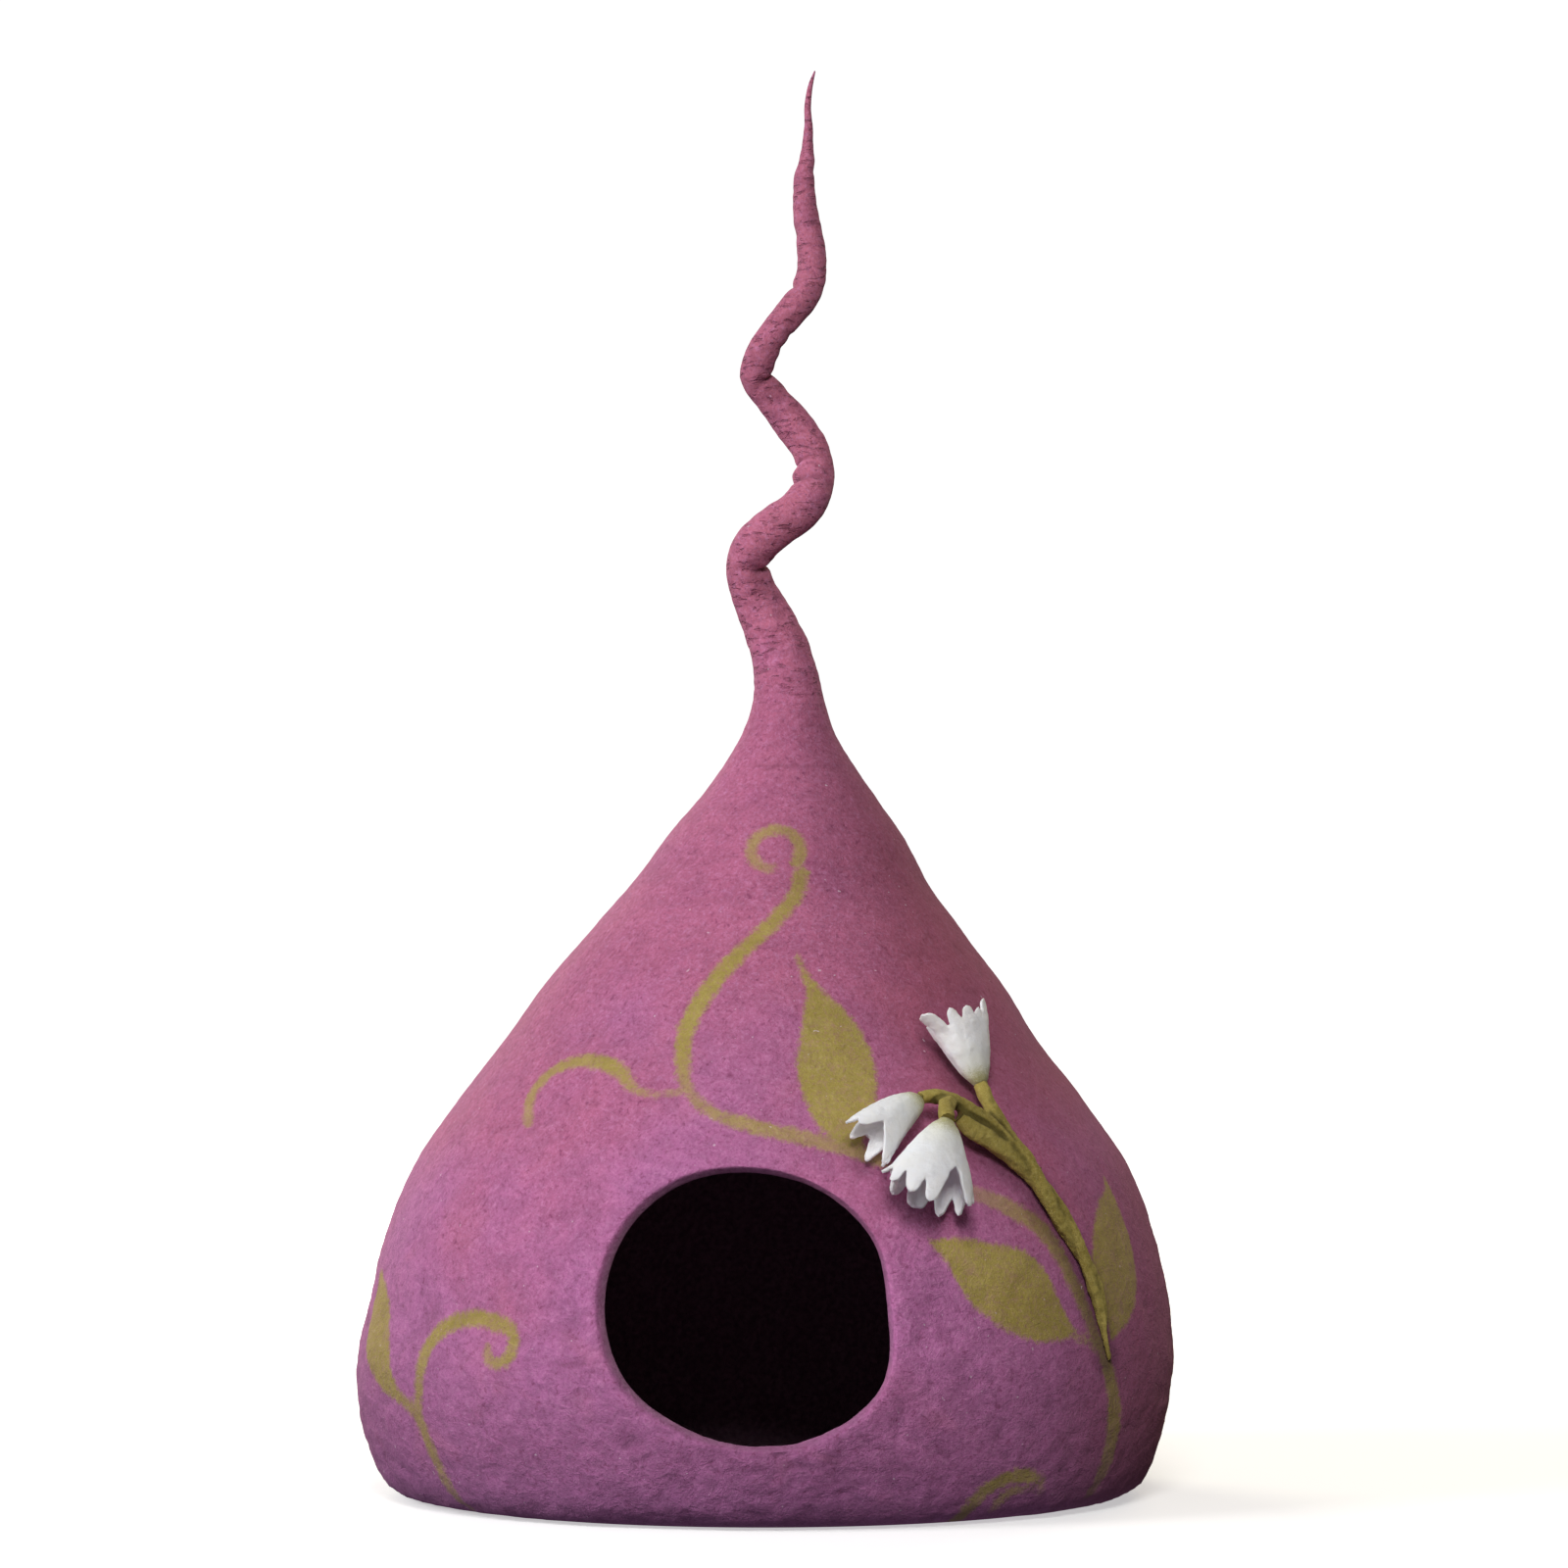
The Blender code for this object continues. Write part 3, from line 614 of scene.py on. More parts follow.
def mauve_felt():
    t = Tree("mauve_wool", 0.92, sheen=0.16, sheen_roughness=0.6, sheen_tint=srgb(235, 180, 205))
    flat = t.vector("MULTIPLY", t.mm, (1.0, 1.0, 1.35))
    broad = t.noise(85, 3, 0.5, 0.4)
    patch = t.noise(30, 2, 0.5, 0.5)
    tuft = t.noise(10.5, 4, 0.66, 0.8, vector=flat)
    fleck = t.noise(3.2, 3, 0.62, 0.5)
    fine = t.noise(1.9, 3, 0.6)
    strand = t.fibres(11.0, 1.1, WAYS)
    hair = t.fibres(6.0, 0.6, WAYS[:4], bend=3.0)
    crease = t.math("MULTIPLY", t.creases(12.0, 0.022, 1.2), t.ramp(t.noise(24, 2), 0.48, 0.62))
    height = t.node("ShaderNodeSeparateXYZ", {0: t.mm}).outputs[2]
    # the wool is worked more coarsely towards the floor
    coarse = t.ramp(t.math("MULTIPLY_ADD", t.math("SUBTRACT", broad, 0.5), 260.0, height), 40, 270, 0.74, 0.48)
    grainy = t.ramp(height, 60, 300, 0.96, 1.08)

    def tint(value, low, high, most, colour, other):
        amount = t.math("MULTIPLY", t.ramp(value, low, high, 0.0, most), grainy)
        return t.mix(amount, colour, other)

    rosy, violet = srgb(178, 98, 131), srgb(176, 106, 155)
    up = t.math("MULTIPLY_ADD", t.math("SUBTRACT", broad, 0.5), 420.0, height)
    colour = t.mix(t.ramp(up, 60, 340), violet, rosy)
    colour = t.mix(t.ramp(height, 400, 540, 0.0, 0.85), colour, srgb(188, 107, 128))
    colour = t.mix(t.ramp(patch, 0.50, 0.72, 0.0, 0.22), colour, srgb(154, 84, 130))
    colour = t.mix(t.ramp(patch, 0.44, 0.26, 0.0, 0.22), colour, srgb(190, 112, 136))
    colour = tint(strand, 0.60, 0.76, 0.28, colour, srgb(206, 142, 184))
    colour = tint(fleck, 0.54, 0.76, 0.48, colour, srgb(202, 136, 180))
    colour = tint(fleck, 0.45, 0.26, 0.62, colour, srgb(126, 58, 94))
    colour = tint(hair, 0.62, 0.78, 0.22, colour, srgb(118, 54, 92))
    colour = tint(fine, 0.52, 0.72, 0.34, colour, srgb(206, 140, 180))
    colour = tint(fine, 0.47, 0.28, 0.42, colour, srgb(122, 54, 90))
    # painted shade and light on the tufts: their low spots darker and their tops lighter, in step with their bump
    depth = t.math("MULTIPLY", t.ramp(tuft, 0.34, 0.66, -0.20, 0.13), coarse)
    colour = t.shade(colour, t.math("ADD", depth, 1.0))

    laid, cover = t.attribute("laid"), t.attribute("cover")
    wander = t.math("MULTIPLY_ADD", t.math("SUBTRACT", t.noise(4.6, 3, 0.65, 0.8), 0.5), 6.5, laid)
    wander = t.math("MULTIPLY_ADD", t.math("SUBTRACT", strand, 0.62), 6.0, wander)
    edge = t.ramp(wander, -2.0, 2.4)
    thin = t.ramp(t.noise(8.5, 3, 0.6, 0.4), 0.28, 0.50, 0.84, 1.0)
    thin = t.math("MULTIPLY", thin, t.ramp(fine, 0.34, 0.52, 0.78, 1.0))
    amount = t.math("MULTIPLY", t.math("MULTIPLY", edge, thin), cover)
    olive = t.mix(t.ramp(patch, 0.36, 0.66), srgb(160, 143, 72), srgb(166, 149, 80))
    olive = t.mix(t.ramp(fleck, 0.52, 0.76, 0.0, 0.32), olive, srgb(190, 174, 106))
    olive = t.mix(t.ramp(fleck, 0.45, 0.28, 0.0, 0.34), olive, srgb(130, 112, 56))
    olive = t.mix(t.ramp(strand, 0.62, 0.78, 0.0, 0.32), olive, srgb(190, 176, 110))
    olive = t.mix(t.ramp(hair, 0.62, 0.78, 0.0, 0.25), olive, srgb(146, 108, 82))
    # the same painted shade and light on the tufts of the vines and leaves
    olive = t.shade(olive, t.ramp(tuft, 0.34, 0.66, 0.95, 1.04))
    colour = t.mix(amount, colour, olive)

    # painted light and shade over broad areas of the wool
    across = t.node("ShaderNodeSeparateXYZ", {0: t.mm}).outputs[0]
    # painted shade: darker on the upper right of the dome, below the neck
    crown = t.math("MULTIPLY", t.ramp(across, -20, 55), t.ramp(height, 290, 370, 0.0, -0.20))
    crown = t.math("MULTIPLY", crown, t.ramp(height, 400, 460, 1.0, 0.0))
    # painted light: lighter low on the right, between the doorway and the right edge
    lit = t.math("MULTIPLY", t.ramp(across, 35, 75, 0.0, 0.13), t.ramp(across, 125, 165, 1.0, 0.0))
    lit = t.math("MULTIPLY", lit, t.ramp(height, 190, 250, 1.0, 0.0))
    # painted shade: darker towards the right edge, half as much on the vines and leaves
    painted_edge_shade = t.math("MULTIPLY", t.ramp(across, 165, 225, 0.0, -0.17), t.ramp(edge, 0.0, 1.0, 1.0, 0.5))
    # painted shade: a little darker all over, and more towards the floor
    foot = t.ramp(height, 130, 35, 0.97, 0.80)
    amount = t.math("ADD", t.math("ADD", crown, lit), t.math("ADD", painted_edge_shade, foot))
    colour = t.shade(colour, amount)
    # painted shade: a warm reddish-brown over the shaded right side and shoulder, not on the vines and leaves
    shoulder = t.math("MULTIPLY", t.ramp(across, 20, 110, 0.0, 0.42), t.ramp(height, 150, 240))
    shoulder = t.math("MULTIPLY", shoulder, t.ramp(height, 380, 450, 1.0, 0.0))
    warm_shade = t.math("MAXIMUM", t.ramp(across, 135, 220, 0.0, 0.42), shoulder)
    warm_shade = t.math("MULTIPLY", warm_shade, t.math("SUBTRACT", 1.0, edge))
    colour = t.mix(warm_shade, colour, srgb(142, 66, 64))

    # painted shadow: the wool is darker close beside the spray, darkest where they touch
    colour = t.shade(colour, t.ramp(t.attribute("near"), 0.05, 0.85, 1.0, 0.50))

    # painted shade in the hollows, folds and creases, and painted light on the rises
    hollow = t.math("MULTIPLY", t.attribute("hollow"), coarse)
    colour = t.shade(colour, t.ramp(hollow, -0.22, 0.30, 1.08, 0.84))
    # painted shade: thin dark crease lines
    colour = t.mix(t.math("MULTIPLY", crease, 0.10), colour, srgb(96, 40, 68))
    # painted shade in the folds and dents of the rope and neck, and in the crease by the doorway
    colour = t.mix(t.ramp(t.attribute("fold"), 0.0, 1.0, 0.0, 0.55), colour, srgb(104, 44, 66))
    # the rope of the tail is crinkled across; the crinkles are dented by the bump and darkened with painted shade
    wrinkled = t.noise(8.0, 3, 0.6, 0.6, vector=t.vector("MULTIPLY", t.mm, (1.0, 1.0, 3.0)))
    crinkle = t.math("MULTIPLY", t.ramp(wrinkled, 0.46, 0.30), t.ramp(height, 420, 470, 0.0, 0.40))
    colour = t.mix(crinkle, colour, srgb(118, 52, 72))
    # painted shade along the bottom edge, with a blue cast like light thrown up from the floor
    colour = t.mix(t.ramp(height, 46, 0, 0.0, 0.20), colour, srgb(84, 58, 112))
    speck = t.math("GREATER_THAN", t.noise(2.3, 0), 0.865)
    colour = t.mix(t.math("MULTIPLY", speck, 0.5), colour, srgb(225, 205, 218))
    # painted shade: the inner face is a darker, greyer mauve, and the doorway's cut takes some of it
    inside = t.attribute("inside")
    dark = t.mix(t.ramp(fleck, 0.3, 0.7), srgb(122, 92, 108), srgb(146, 114, 130))
    colour = t.mix(inside, colour, dark)

    relief = t.math("MULTIPLY_ADD", tuft, 1.6, t.math("MULTIPLY", fleck, 0.7))
    relief = t.math("MULTIPLY_ADD", fine, 0.16, relief)
    relief = t.math("MULTIPLY_ADD", strand, 0.7, relief)
    relief = t.math("MULTIPLY_ADD", hair, 0.25, relief)
    relief = t.math("MULTIPLY", relief, coarse)
    relief = t.math("MULTIPLY_ADD", crinkle, -2.0, relief)
    t.links.new(colour, t.shader.inputs["Base Color"])
    t.links.new(t.bump(relief, 1.05, 1.0), t.shader.inputs["Normal"])
    return t.material


def olive_felt():
    t = Tree("olive_wool", 0.9, sheen=0.12, sheen_tint=srgb(215, 205, 150))
    fleck = t.noise(3.0, 3, 0.6, 0.6)
    strand = t.fibres(9.0, 0.7, WAYS, bend=3.0)
    patch = t.noise(17, 2, 0.5)
    colour = t.mix(t.ramp(patch, 0.35, 0.68), srgb(142, 126, 62), srgb(158, 142, 74))
    colour = t.mix(t.ramp(fleck, 0.5, 0.72, 0.0, 0.4), colour, srgb(176, 160, 94))
    colour = t.mix(t.ramp(fleck, 0.45, 0.28, 0.0, 0.4), colour, srgb(112, 94, 50))
    colour = t.mix(t.ramp(strand, 0.60, 0.74, 0.0, 0.40), colour, srgb(184, 170, 106))
    # painted shade in the grooves between the strands, and painted light on their ridges
    colour = t.shade(colour, t.ramp(t.attribute("hollow"), -0.35, 0.60, 1.12, 0.38))
    t.links.new(colour, t.shader.inputs["Base Color"])
    relief = t.math("MULTIPLY_ADD", strand, 0.9, fleck)
    t.links.new(t.bump(relief, 0.7, 0.8), t.shader.inputs["Normal"])
    return t.material


def white_felt():
    t = Tree("white_wool", 0.88, sheen=0.15)
    # thin wool lets light through
    t.shader.inputs["Subsurface Weight"].default_value = 0.75
    t.shader.inputs["Subsurface Radius"].default_value = (1.0, 0.95, 0.88)
    t.shader.inputs["Subsurface Scale"].default_value = 0.006
    fleck = t.noise(3.0, 3, 0.6, 0.4)
    strand = t.fibres(8.0, 0.6, WAYS, bend=3.0)
    colour = t.mix(t.ramp(t.noise(12, 2), 0.35, 0.7), srgb(250, 252, 253), srgb(246, 246, 242))
    colour = t.mix(t.ramp(fleck, 0.45, 0.25, 0.0, 0.18), colour, srgb(226, 226, 220))
    colour = t.mix(t.ramp(strand, 0.60, 0.74, 0.0, 0.4), colour, srgb(252, 252, 252))
    crown = t.math("ADD", t.attribute("crown"), t.math("MULTIPLY", t.math("SUBTRACT", strand, 0.58), 16.0))
    colour = t.mix(t.ramp(crown, 12.0, 2.0, 0.0, 0.95), colour, srgb(150, 142, 78))
    colour = t.mix(t.ramp(t.attribute("crown"), 24, 5, 0.0, 0.38), colour, srgb(206, 202, 156))
    # painted shade in the hollows of the flowers
    colour = t.shade(colour, t.ramp(t.attribute("hollow"), -0.1, 0.6, 1.0, 0.90))
    t.links.new(colour, t.shader.inputs["Base Color"])
    relief = t.math("MULTIPLY_ADD", strand, 0.8, fleck)
    t.links.new(t.bump(relief, 0.6, 0.6), t.shader.inputs["Normal"])
    return t.material


# ---------------------------------------------------------------- the felt shell
def lay_out_rows():
    """Places of the rings up the form, close where it is narrow."""
    step = np.linalg.norm(np.diff(FORM[:, :3], axis=0), axis=1)
    grow = np.diff(FORM[:, 3])
    along = np.sqrt(step**2 + grow**2)
    radius = (FORM[1:, 3] + FORM[:-1, 3]) / 2
    spacing = np.interp(radius, [0, 3, 12, 21, 50, 108, 230], [1.0, 1.15, 1.4, 1.8, 2.4, 2.9, 3.0])
    at = np.concatenate([[0], np.cumsum(along / spacing)])
    n = int(round(at[-1]))
    return np.interp(np.linspace(0, at[-1], n + 1), at, np.arange(len(FORM)))


def columns_for(count):
    t = np.arange(352)[:: 352 // count] / 352
    return -180 + 360 * t + FRONT_FINER * 180 / math.pi * np.sin(2 * math.pi * t)


def make_shell():
    skin = Skin()
    places = lay_out_rows()
    heights = np.interp(places, np.arange(len(FORM)), FORM[:, 2])
    radii = np.interp(places, np.arange(len(FORM)), FORM[:, 3])
    counts, least = [], 352
    for r, z in zip(radii, heights):
        n = next(c for c, limit in COLUMNS if r > limit or c == 22)
        least = min(least, n) if z > 80 else 352
        counts.append(least)

    az = columns_for(352)
    j0 = int(np.argmin(np.abs(az + 30.0))) // 2 * 2
    j1 = int(np.argmin(np.abs(az - 24.5))) // 2 * 2
    i0 = int(np.argmin(np.abs(heights - 21.0))) // 2 * 2
    i1 = int(np.argmin(np.abs(heights[: len(places) // 2] - 209.0))) // 2 * 2

    outer = []
    for place, count in zip(places, counts):
        columns = columns_for(count)
        outer.append(skin.add(face(np.full(count, place), columns), place=place, azimuth=columns))
    hole = set(range(j0, j1))
    for i in range(len(outer) - 1):
        skin.bridge(outer[i], outer[i + 1], skip=hole if i0 <= i < i1 else ())
    skin.cap(outer[0], flip=True)
    tip = skin.add(face(len(FORM) - 1, 0) * 0 + FORM[-1, :3] + _normal[-1] * 0.7, place=len(FORM) - 1)
    skin.fan(outer[-1], tip[0])

    # round the doorway: rings from the grid's opening to the rolled lip
    def perimeter(rings, step):
        a, b = j0 // step, j1 // step
        path = [rings[i0][j] for j in range(a, b)]
        path += [rings[i][b] for i in range(i0, i1, step)]
        path += [rings[i1][j] for j in range(b, a, -1)]
        path += [rings[i][a] for i in range(i1, i0, -step)]
        return np.array(path)

    edge = perimeter(dict(enumerate(outer)), 1)
    every = np.vstack(skin.points)
    ex, ez = every[edge, 0], every[edge, 2]
    direction = np.degrees(np.arctan2(ez - DOOR_Z, ex - DOOR_X)) % 360
    throat = smooth_loop(DOORWAY, direction)
    spread = smooth_loop(LIP_SPREAD, direction)
    cosd, sind = np.cos(np.radians(direction)), np.sin(np.radians(direction))
    lip_x, lip_z = DOOR_X + (throat + spread) * cosd, DOOR_Z + (throat + spread) * sind
    ring = edge
    steps = 14
    for k in range(1, steps + 1):
        f = k / steps
        x, z = ex + (lip_x - ex) * f, ez + (lip_z - ez) * f
        place, azimuth = at_front(x, z)
        new = skin.add(face(place, azimuth), place=place, azimuth=azimuth)
        skin.bridge(ring, new)
        ring = new

    def thickness(place, azimuth):
        return WALL / np.abs(face_normal(place, azimuth)[:, 1])

    def lip_ring(growth, depth, inside):
        x, z = DOOR_X + (throat + growth) * cosd, DOOR_Z + (throat + growth) * sind
        place, azimuth = at_front(x, z)
        p = face(place, azimuth)
        p[:, 1] += depth * (thickness(place, azimuth) - 1.4)
        return skin.add(p, place=place, azimuth=azimuth, inside=inside, lip=1.0)

    for g, d in LIP_PROFILE[1:]:
        # painted shade: the cut is a little darker on the left, taking some of the inside colour
        new = lip_ring(spread * g, d, (0.15 + 0.40 * np.clip(0.2 - cosd, 0, 1)) * smooth01((d - 0.08) / 0.7))
        skin.bridge(ring, new)
        ring = new
    for k in range(1, 5):
        a = k / 4 * math.pi / 2
        x, z = DOOR_X + (throat + LIP_IN * (1 - math.cos(a))) * cosd, DOOR_Z + (throat + LIP_IN * (1 - math.cos(a))) * sind
        place, azimuth = at_front(x, z)
        p = face(place, azimuth)
        p[:, 1] += thickness(place, azimuth) - 1.4 * (1 - math.sin(a))
        new = skin.add(p, place=place, azimuth=azimuth, inside=1.0, lip=1.0)
        skin.bridge(ring, new)
        ring = new
    inner_lip = ring

    # the inner face
    inner = {}
    order = []
    floor_ring = None
    for i in range(0, len(outer), 2):
        if heights[i] > ROOM_TOP:
            break
        count = counts[i] // 2
        columns = columns_for(count)
        place = np.full(count, places[i])
        p = face(place, columns) - WALL * face_normal(place, columns)
        if p[:, 2].min() < 8.9:
            continue
        inner[i] = skin.add(p, place=places[i], azimuth=columns, inside=1.0)
        order.append(i)
    every = np.vstack(skin.points)
    for a, b in zip(order, order[1:]):
        skip = set(range(j0 // 2, j1 // 2)) if i0 <= a < i1 else ()
        skin.bridge(inner[a], inner[b], flip=True, skip=skip)
    # floor of the room: rings that get smaller toward its middle
    ring = inner[order[0]]
    base = every[ring]
    columns = columns_for(len(ring))
    for f in (0.985, 0.93, 0.86, 0.78, 0.70, 0.62, 0.54, 0.46, 0.38, 0.30, 0.22, 0.14, 0.07):
        count = 176 if f > 0.5 else 88 if f > 0.25 else 44
        pick = base[:: len(base) // count].copy()
        p = pick * [f, f, 0] + [0, 0, WALL]
        new = skin.add(p, place=places[order[0]], azimuth=columns_for(count), inside=1.0)
        skin.bridge(ring, new)
        ring = new
    tip = skin.add([[0, 0, WALL]], inside=1.0)
    skin.fan(ring, tip[0])
    # top of the room
    ring = inner[order[-1]]
    base = every[ring]
    middle = base.mean(0)
    for lift, f in ((4.5, 0.9), (8.5, 0.72), (11.5, 0.48), (13.0, 0.22)):
        p = middle + (base - middle) * [f, f, 1] + [0, 0, lift]
        new = skin.add(p, place=places[order[-1]], azimuth=columns_for(len(ring)), inside=1.0)
        skin.bridge(ring, new, flip=True)
        ring = new
    tip = skin.add([middle + [0, 0, 13.6]], inside=1.0)
    skin.fan(ring, tip[0], flip=True)
    # between the lip and the inner face
    target = perimeter(inner, 2)
    tx, ty, tz = every[target].T
    half = inner_lip[::2]
    sx, sz = np.vstack(skin.points)[half][:, 0], np.vstack(skin.points)[half][:, 2]
    place, azimuth = at_front(tx, tz)
    residual = ty - (face(place, azimuth)[:, 1] + thickness(place, azimuth))
    ring = inner_lip
    steps = 6
    for k in range(1, steps):
        f = k / steps
        x, z = sx + (tx - sx) * f, sz + (tz - sz) * f
        place, azimuth = at_front(x, z)
        p = face(place, azimuth)
        p[:, 1] += thickness(place, azimuth) + residual * f
        new = skin.add(p, place=place, azimuth=azimuth, inside=1.0)
        skin.bridge(ring, new)
        ring = new
    skin.bridge(ring, target)

    points, notes, faces = skin.arrays()
    shell = put("felt_cave", points, faces, None)
    place, azimuth, inside, lip = notes.T
    body_height = np.interp(place, np.arange(len(FORM)), FORM[:, 2])

    # ---- relief of the felt, along the face's own normal
    out = normals(shell.data)
    outer_part = inside < 0.5
    is_tail = smooth01((body_height - 430) / 40)
    low = smooth01((100 - body_height) / 80) * outer_part
    lower = smooth01((230 - body_height) / 150)
    lift = 0.9 * grain(points, 120, 3.1) + 0.8 * grain(points, 42, 7.7) * (1 - 0.6 * is_tail)
    lift += grain(points, 17, 1.9) * (0.26 + 0.40 * lower)
    pebble = grain(points * [1.0, 1.0, 1.5], 9.5, 5.3, octaves=2, step=0.8)
    lift += pebble * (0.22 + 0.22 * lower + 0.50 * low)
    lift += grain(points * [1.0, 1.0, 1.4], 5.2, 9.1) * (0.16 + 0.12 * lower + 0.22 * low)
    fold = np.zeros(len(points))
    # rolled rim of the doorway
    seen_x, seen_z = points[:, 0] - DOOR_X, points[:, 2] - DOOR_Z
    toward = np.degrees(np.arctan2(seen_z, seen_x)) % 360
    reach = np.hypot(seen_x, seen_z) - smooth_loop(DOORWAY, toward) - smooth_loop(LIP_SPREAD, toward)
    front = (np.abs(azimuth) < 60) & outer_part & (body_height < 260)
    lift += np.where(front & (lip < 0.5), 0.5 * np.exp(-((reach - 4.0) / 6.0) ** 2), 0)
    # creases, notches and knuckles
    radius = np.interp(place, np.arange(len(FORM)), FORM[:, 3])
    tail = np.where((body_height > 385) & outer_part)[0]
    wobble = grain(points[tail], 9.0, 2.2)
    for height, direction, depth, width, spread_deg in TAIL_DENTS:
        turn = (azimuth[tail] - direction + 180) % 360 - 180
        near = np.exp(-(turn / spread_deg) ** 2) * np.exp(-((body_height[tail] + 3.0 * wobble * (width < 3) - height) / width) ** 2)
        lift[tail] -= depth * near
        if depth > 0:
            fold[tail] = np.maximum(fold[tail], near * min(1.0, depth / 1.6))
    ripple = grain(points[tail] * [0.35, 0.35, 1.0], 4.2, 6.0)
    in_front = 0.35 + 0.65 * smooth01((np.cos(np.radians(azimuth[tail])) + 0.1) / 0.8)
    lift[tail] += ripple * is_tail[tail] * np.clip(radius[tail] / 12, 0.2, 1) * 0.75 * in_front
    fold[tail] = np.maximum(fold[tail], np.clip(-ripple * 1.5 - 0.15, 0, 1) * is_tail[tail] * 0.45 * in_front)
    # a short crease to the left of the doorway
    crease = np.exp(-((body_height - 87 - 1.2 * np.sin(points[:, 0] / 5)) / 1.5) ** 2) * smooth01((points[:, 0] + 112) / 8) * smooth01((-88 - points[:, 0]) / 5) * front
    lift -= 0.9 * crease
    fold = np.maximum(fold, crease * 0.55)
    lift *= np.where(outer_part, 1.0, 0.6) * smooth01(points[:, 2] / 4.0) * np.where(lip > 0.5, 0.5, 1.0)
    lift[tail] *= np.clip(radius[tail] / 8.0, 0.35, 1.0)
    lift[(~outer_part) & (points[:, 2] < 8.6)] *= 0.5
    set_coords(shell.data, points + out * lift[:, None])
    hollow = hollows(shell.data, 24)
    hollow[(lip > 0.5) | (radius < 9)] = 0.0

    # ---- the laid-in motifs: how far inside one a point is, in mm
    laid = np.full(len(points), -9.0)
    cover = np.ones(len(points))
    leaf = np.zeros(len(points))
    candidates = np.where(outer_part & (np.abs(azimuth) < 115) & (body_height < 400))[0]

    def nearest(line):
        """For the points near a line: their ids, distance and nearest row."""
        low_c, high_c = line[:, :3].min(0) - 30, line[:, :3].max(0) + 30
        p = points[candidates]
        near = candidates[((p > low_c) & (p < high_c)).all(1)]
        best, row = np.full(len(near), 1e9), np.zeros(len(near), int)
        for s in range(0, len(line), 60):
            d = np.linalg.norm(points[near][:, None] - line[None, s:s + 60, :3], axis=2)
            k = d.argmin(1)
            d = d[np.arange(len(near)), k]
            row = np.where(d < best, k + s, row)
            best = np.minimum(best, d)
        return near, best, row

    def stamp(ids, value, amount, is_leaf):
        better = value > laid[ids]
        ids = ids[better]
        laid[ids] = value[better]
        cover[ids] = amount[better]
        leaf[ids] = is_leaf

    for rows in VINES.values():
        line = smooth_rows(rows, 14)
        spots = np.hstack([face(place_at(line[:, 1]), line[:, 0]), line[:, 2:]])
        ids, distance, row = nearest(spots)
        stamp(ids, spots[row, 3] - distance, spots[row, 4], 0.0)
    for a, z, start, end, r0, r1, w0, w1, amount in CURLS.values():
        f = np.linspace(0, 1, 120)
        middle, normal = on_cave(a, z)
        across = unit(np.cross([0, 0, 1.0], -normal[0]) * -1)
        up = np.cross(normal[0], across)
        up = up if up[2] > 0 else -up
        across = across if across[0] > 0 else -across
        turn = np.radians(start + (end - start) * f)
        r = r0 + (r1 - r0) * f
        flat = middle + (r * np.cos(turn))[:, None] * across + (r * np.sin(turn))[:, None] * up
        place_c, azimuth_c = at_front(flat[:, 0], flat[:, 2])
        spots = np.hstack([face(place_c, azimuth_c), (w0 + (w1 - w0) * f)[:, None], (amount * (1 - 0.25 * f**3))[:, None]])
        ids, distance, row = nearest(spots)
        stamp(ids, spots[row, 3] - distance, spots[row, 4], 0.0)
    for rows in LEAVES.values():
        line = smooth_rows(rows, 14)
        k = place_at(line[:, 1])
        spots = np.hstack([face(k, line[:, 0]), line[:, 2:]])
        way = unit(np.gradient(spots[:, :3], axis=0))
        normal = face_normal(k, line[:, 0])
        right = np.cross(way, normal)
        ids, distance, row = nearest(spots)
        side = ((points[ids] - spots[row, :3]) * right[row]).sum(1)
        reach_here = np.where(side > 0, spots[row, 4], spots[row, 3])
        stamp(ids, reach_here - distance, np.ones(len(ids)), 1.0)

    attribute(shell.data, "laid", np.clip(laid, -9, 12))
    attribute(shell.data, "cover", cover)
    attribute(shell.data, "leaf", leaf)
    attribute(shell.data, "inside", inside)
    attribute(shell.data, "fold", fold)
    attribute(shell.data, "hollow", np.clip(hollow, -1, 1))
    shell.data.materials.append(mauve_felt())
    return shell


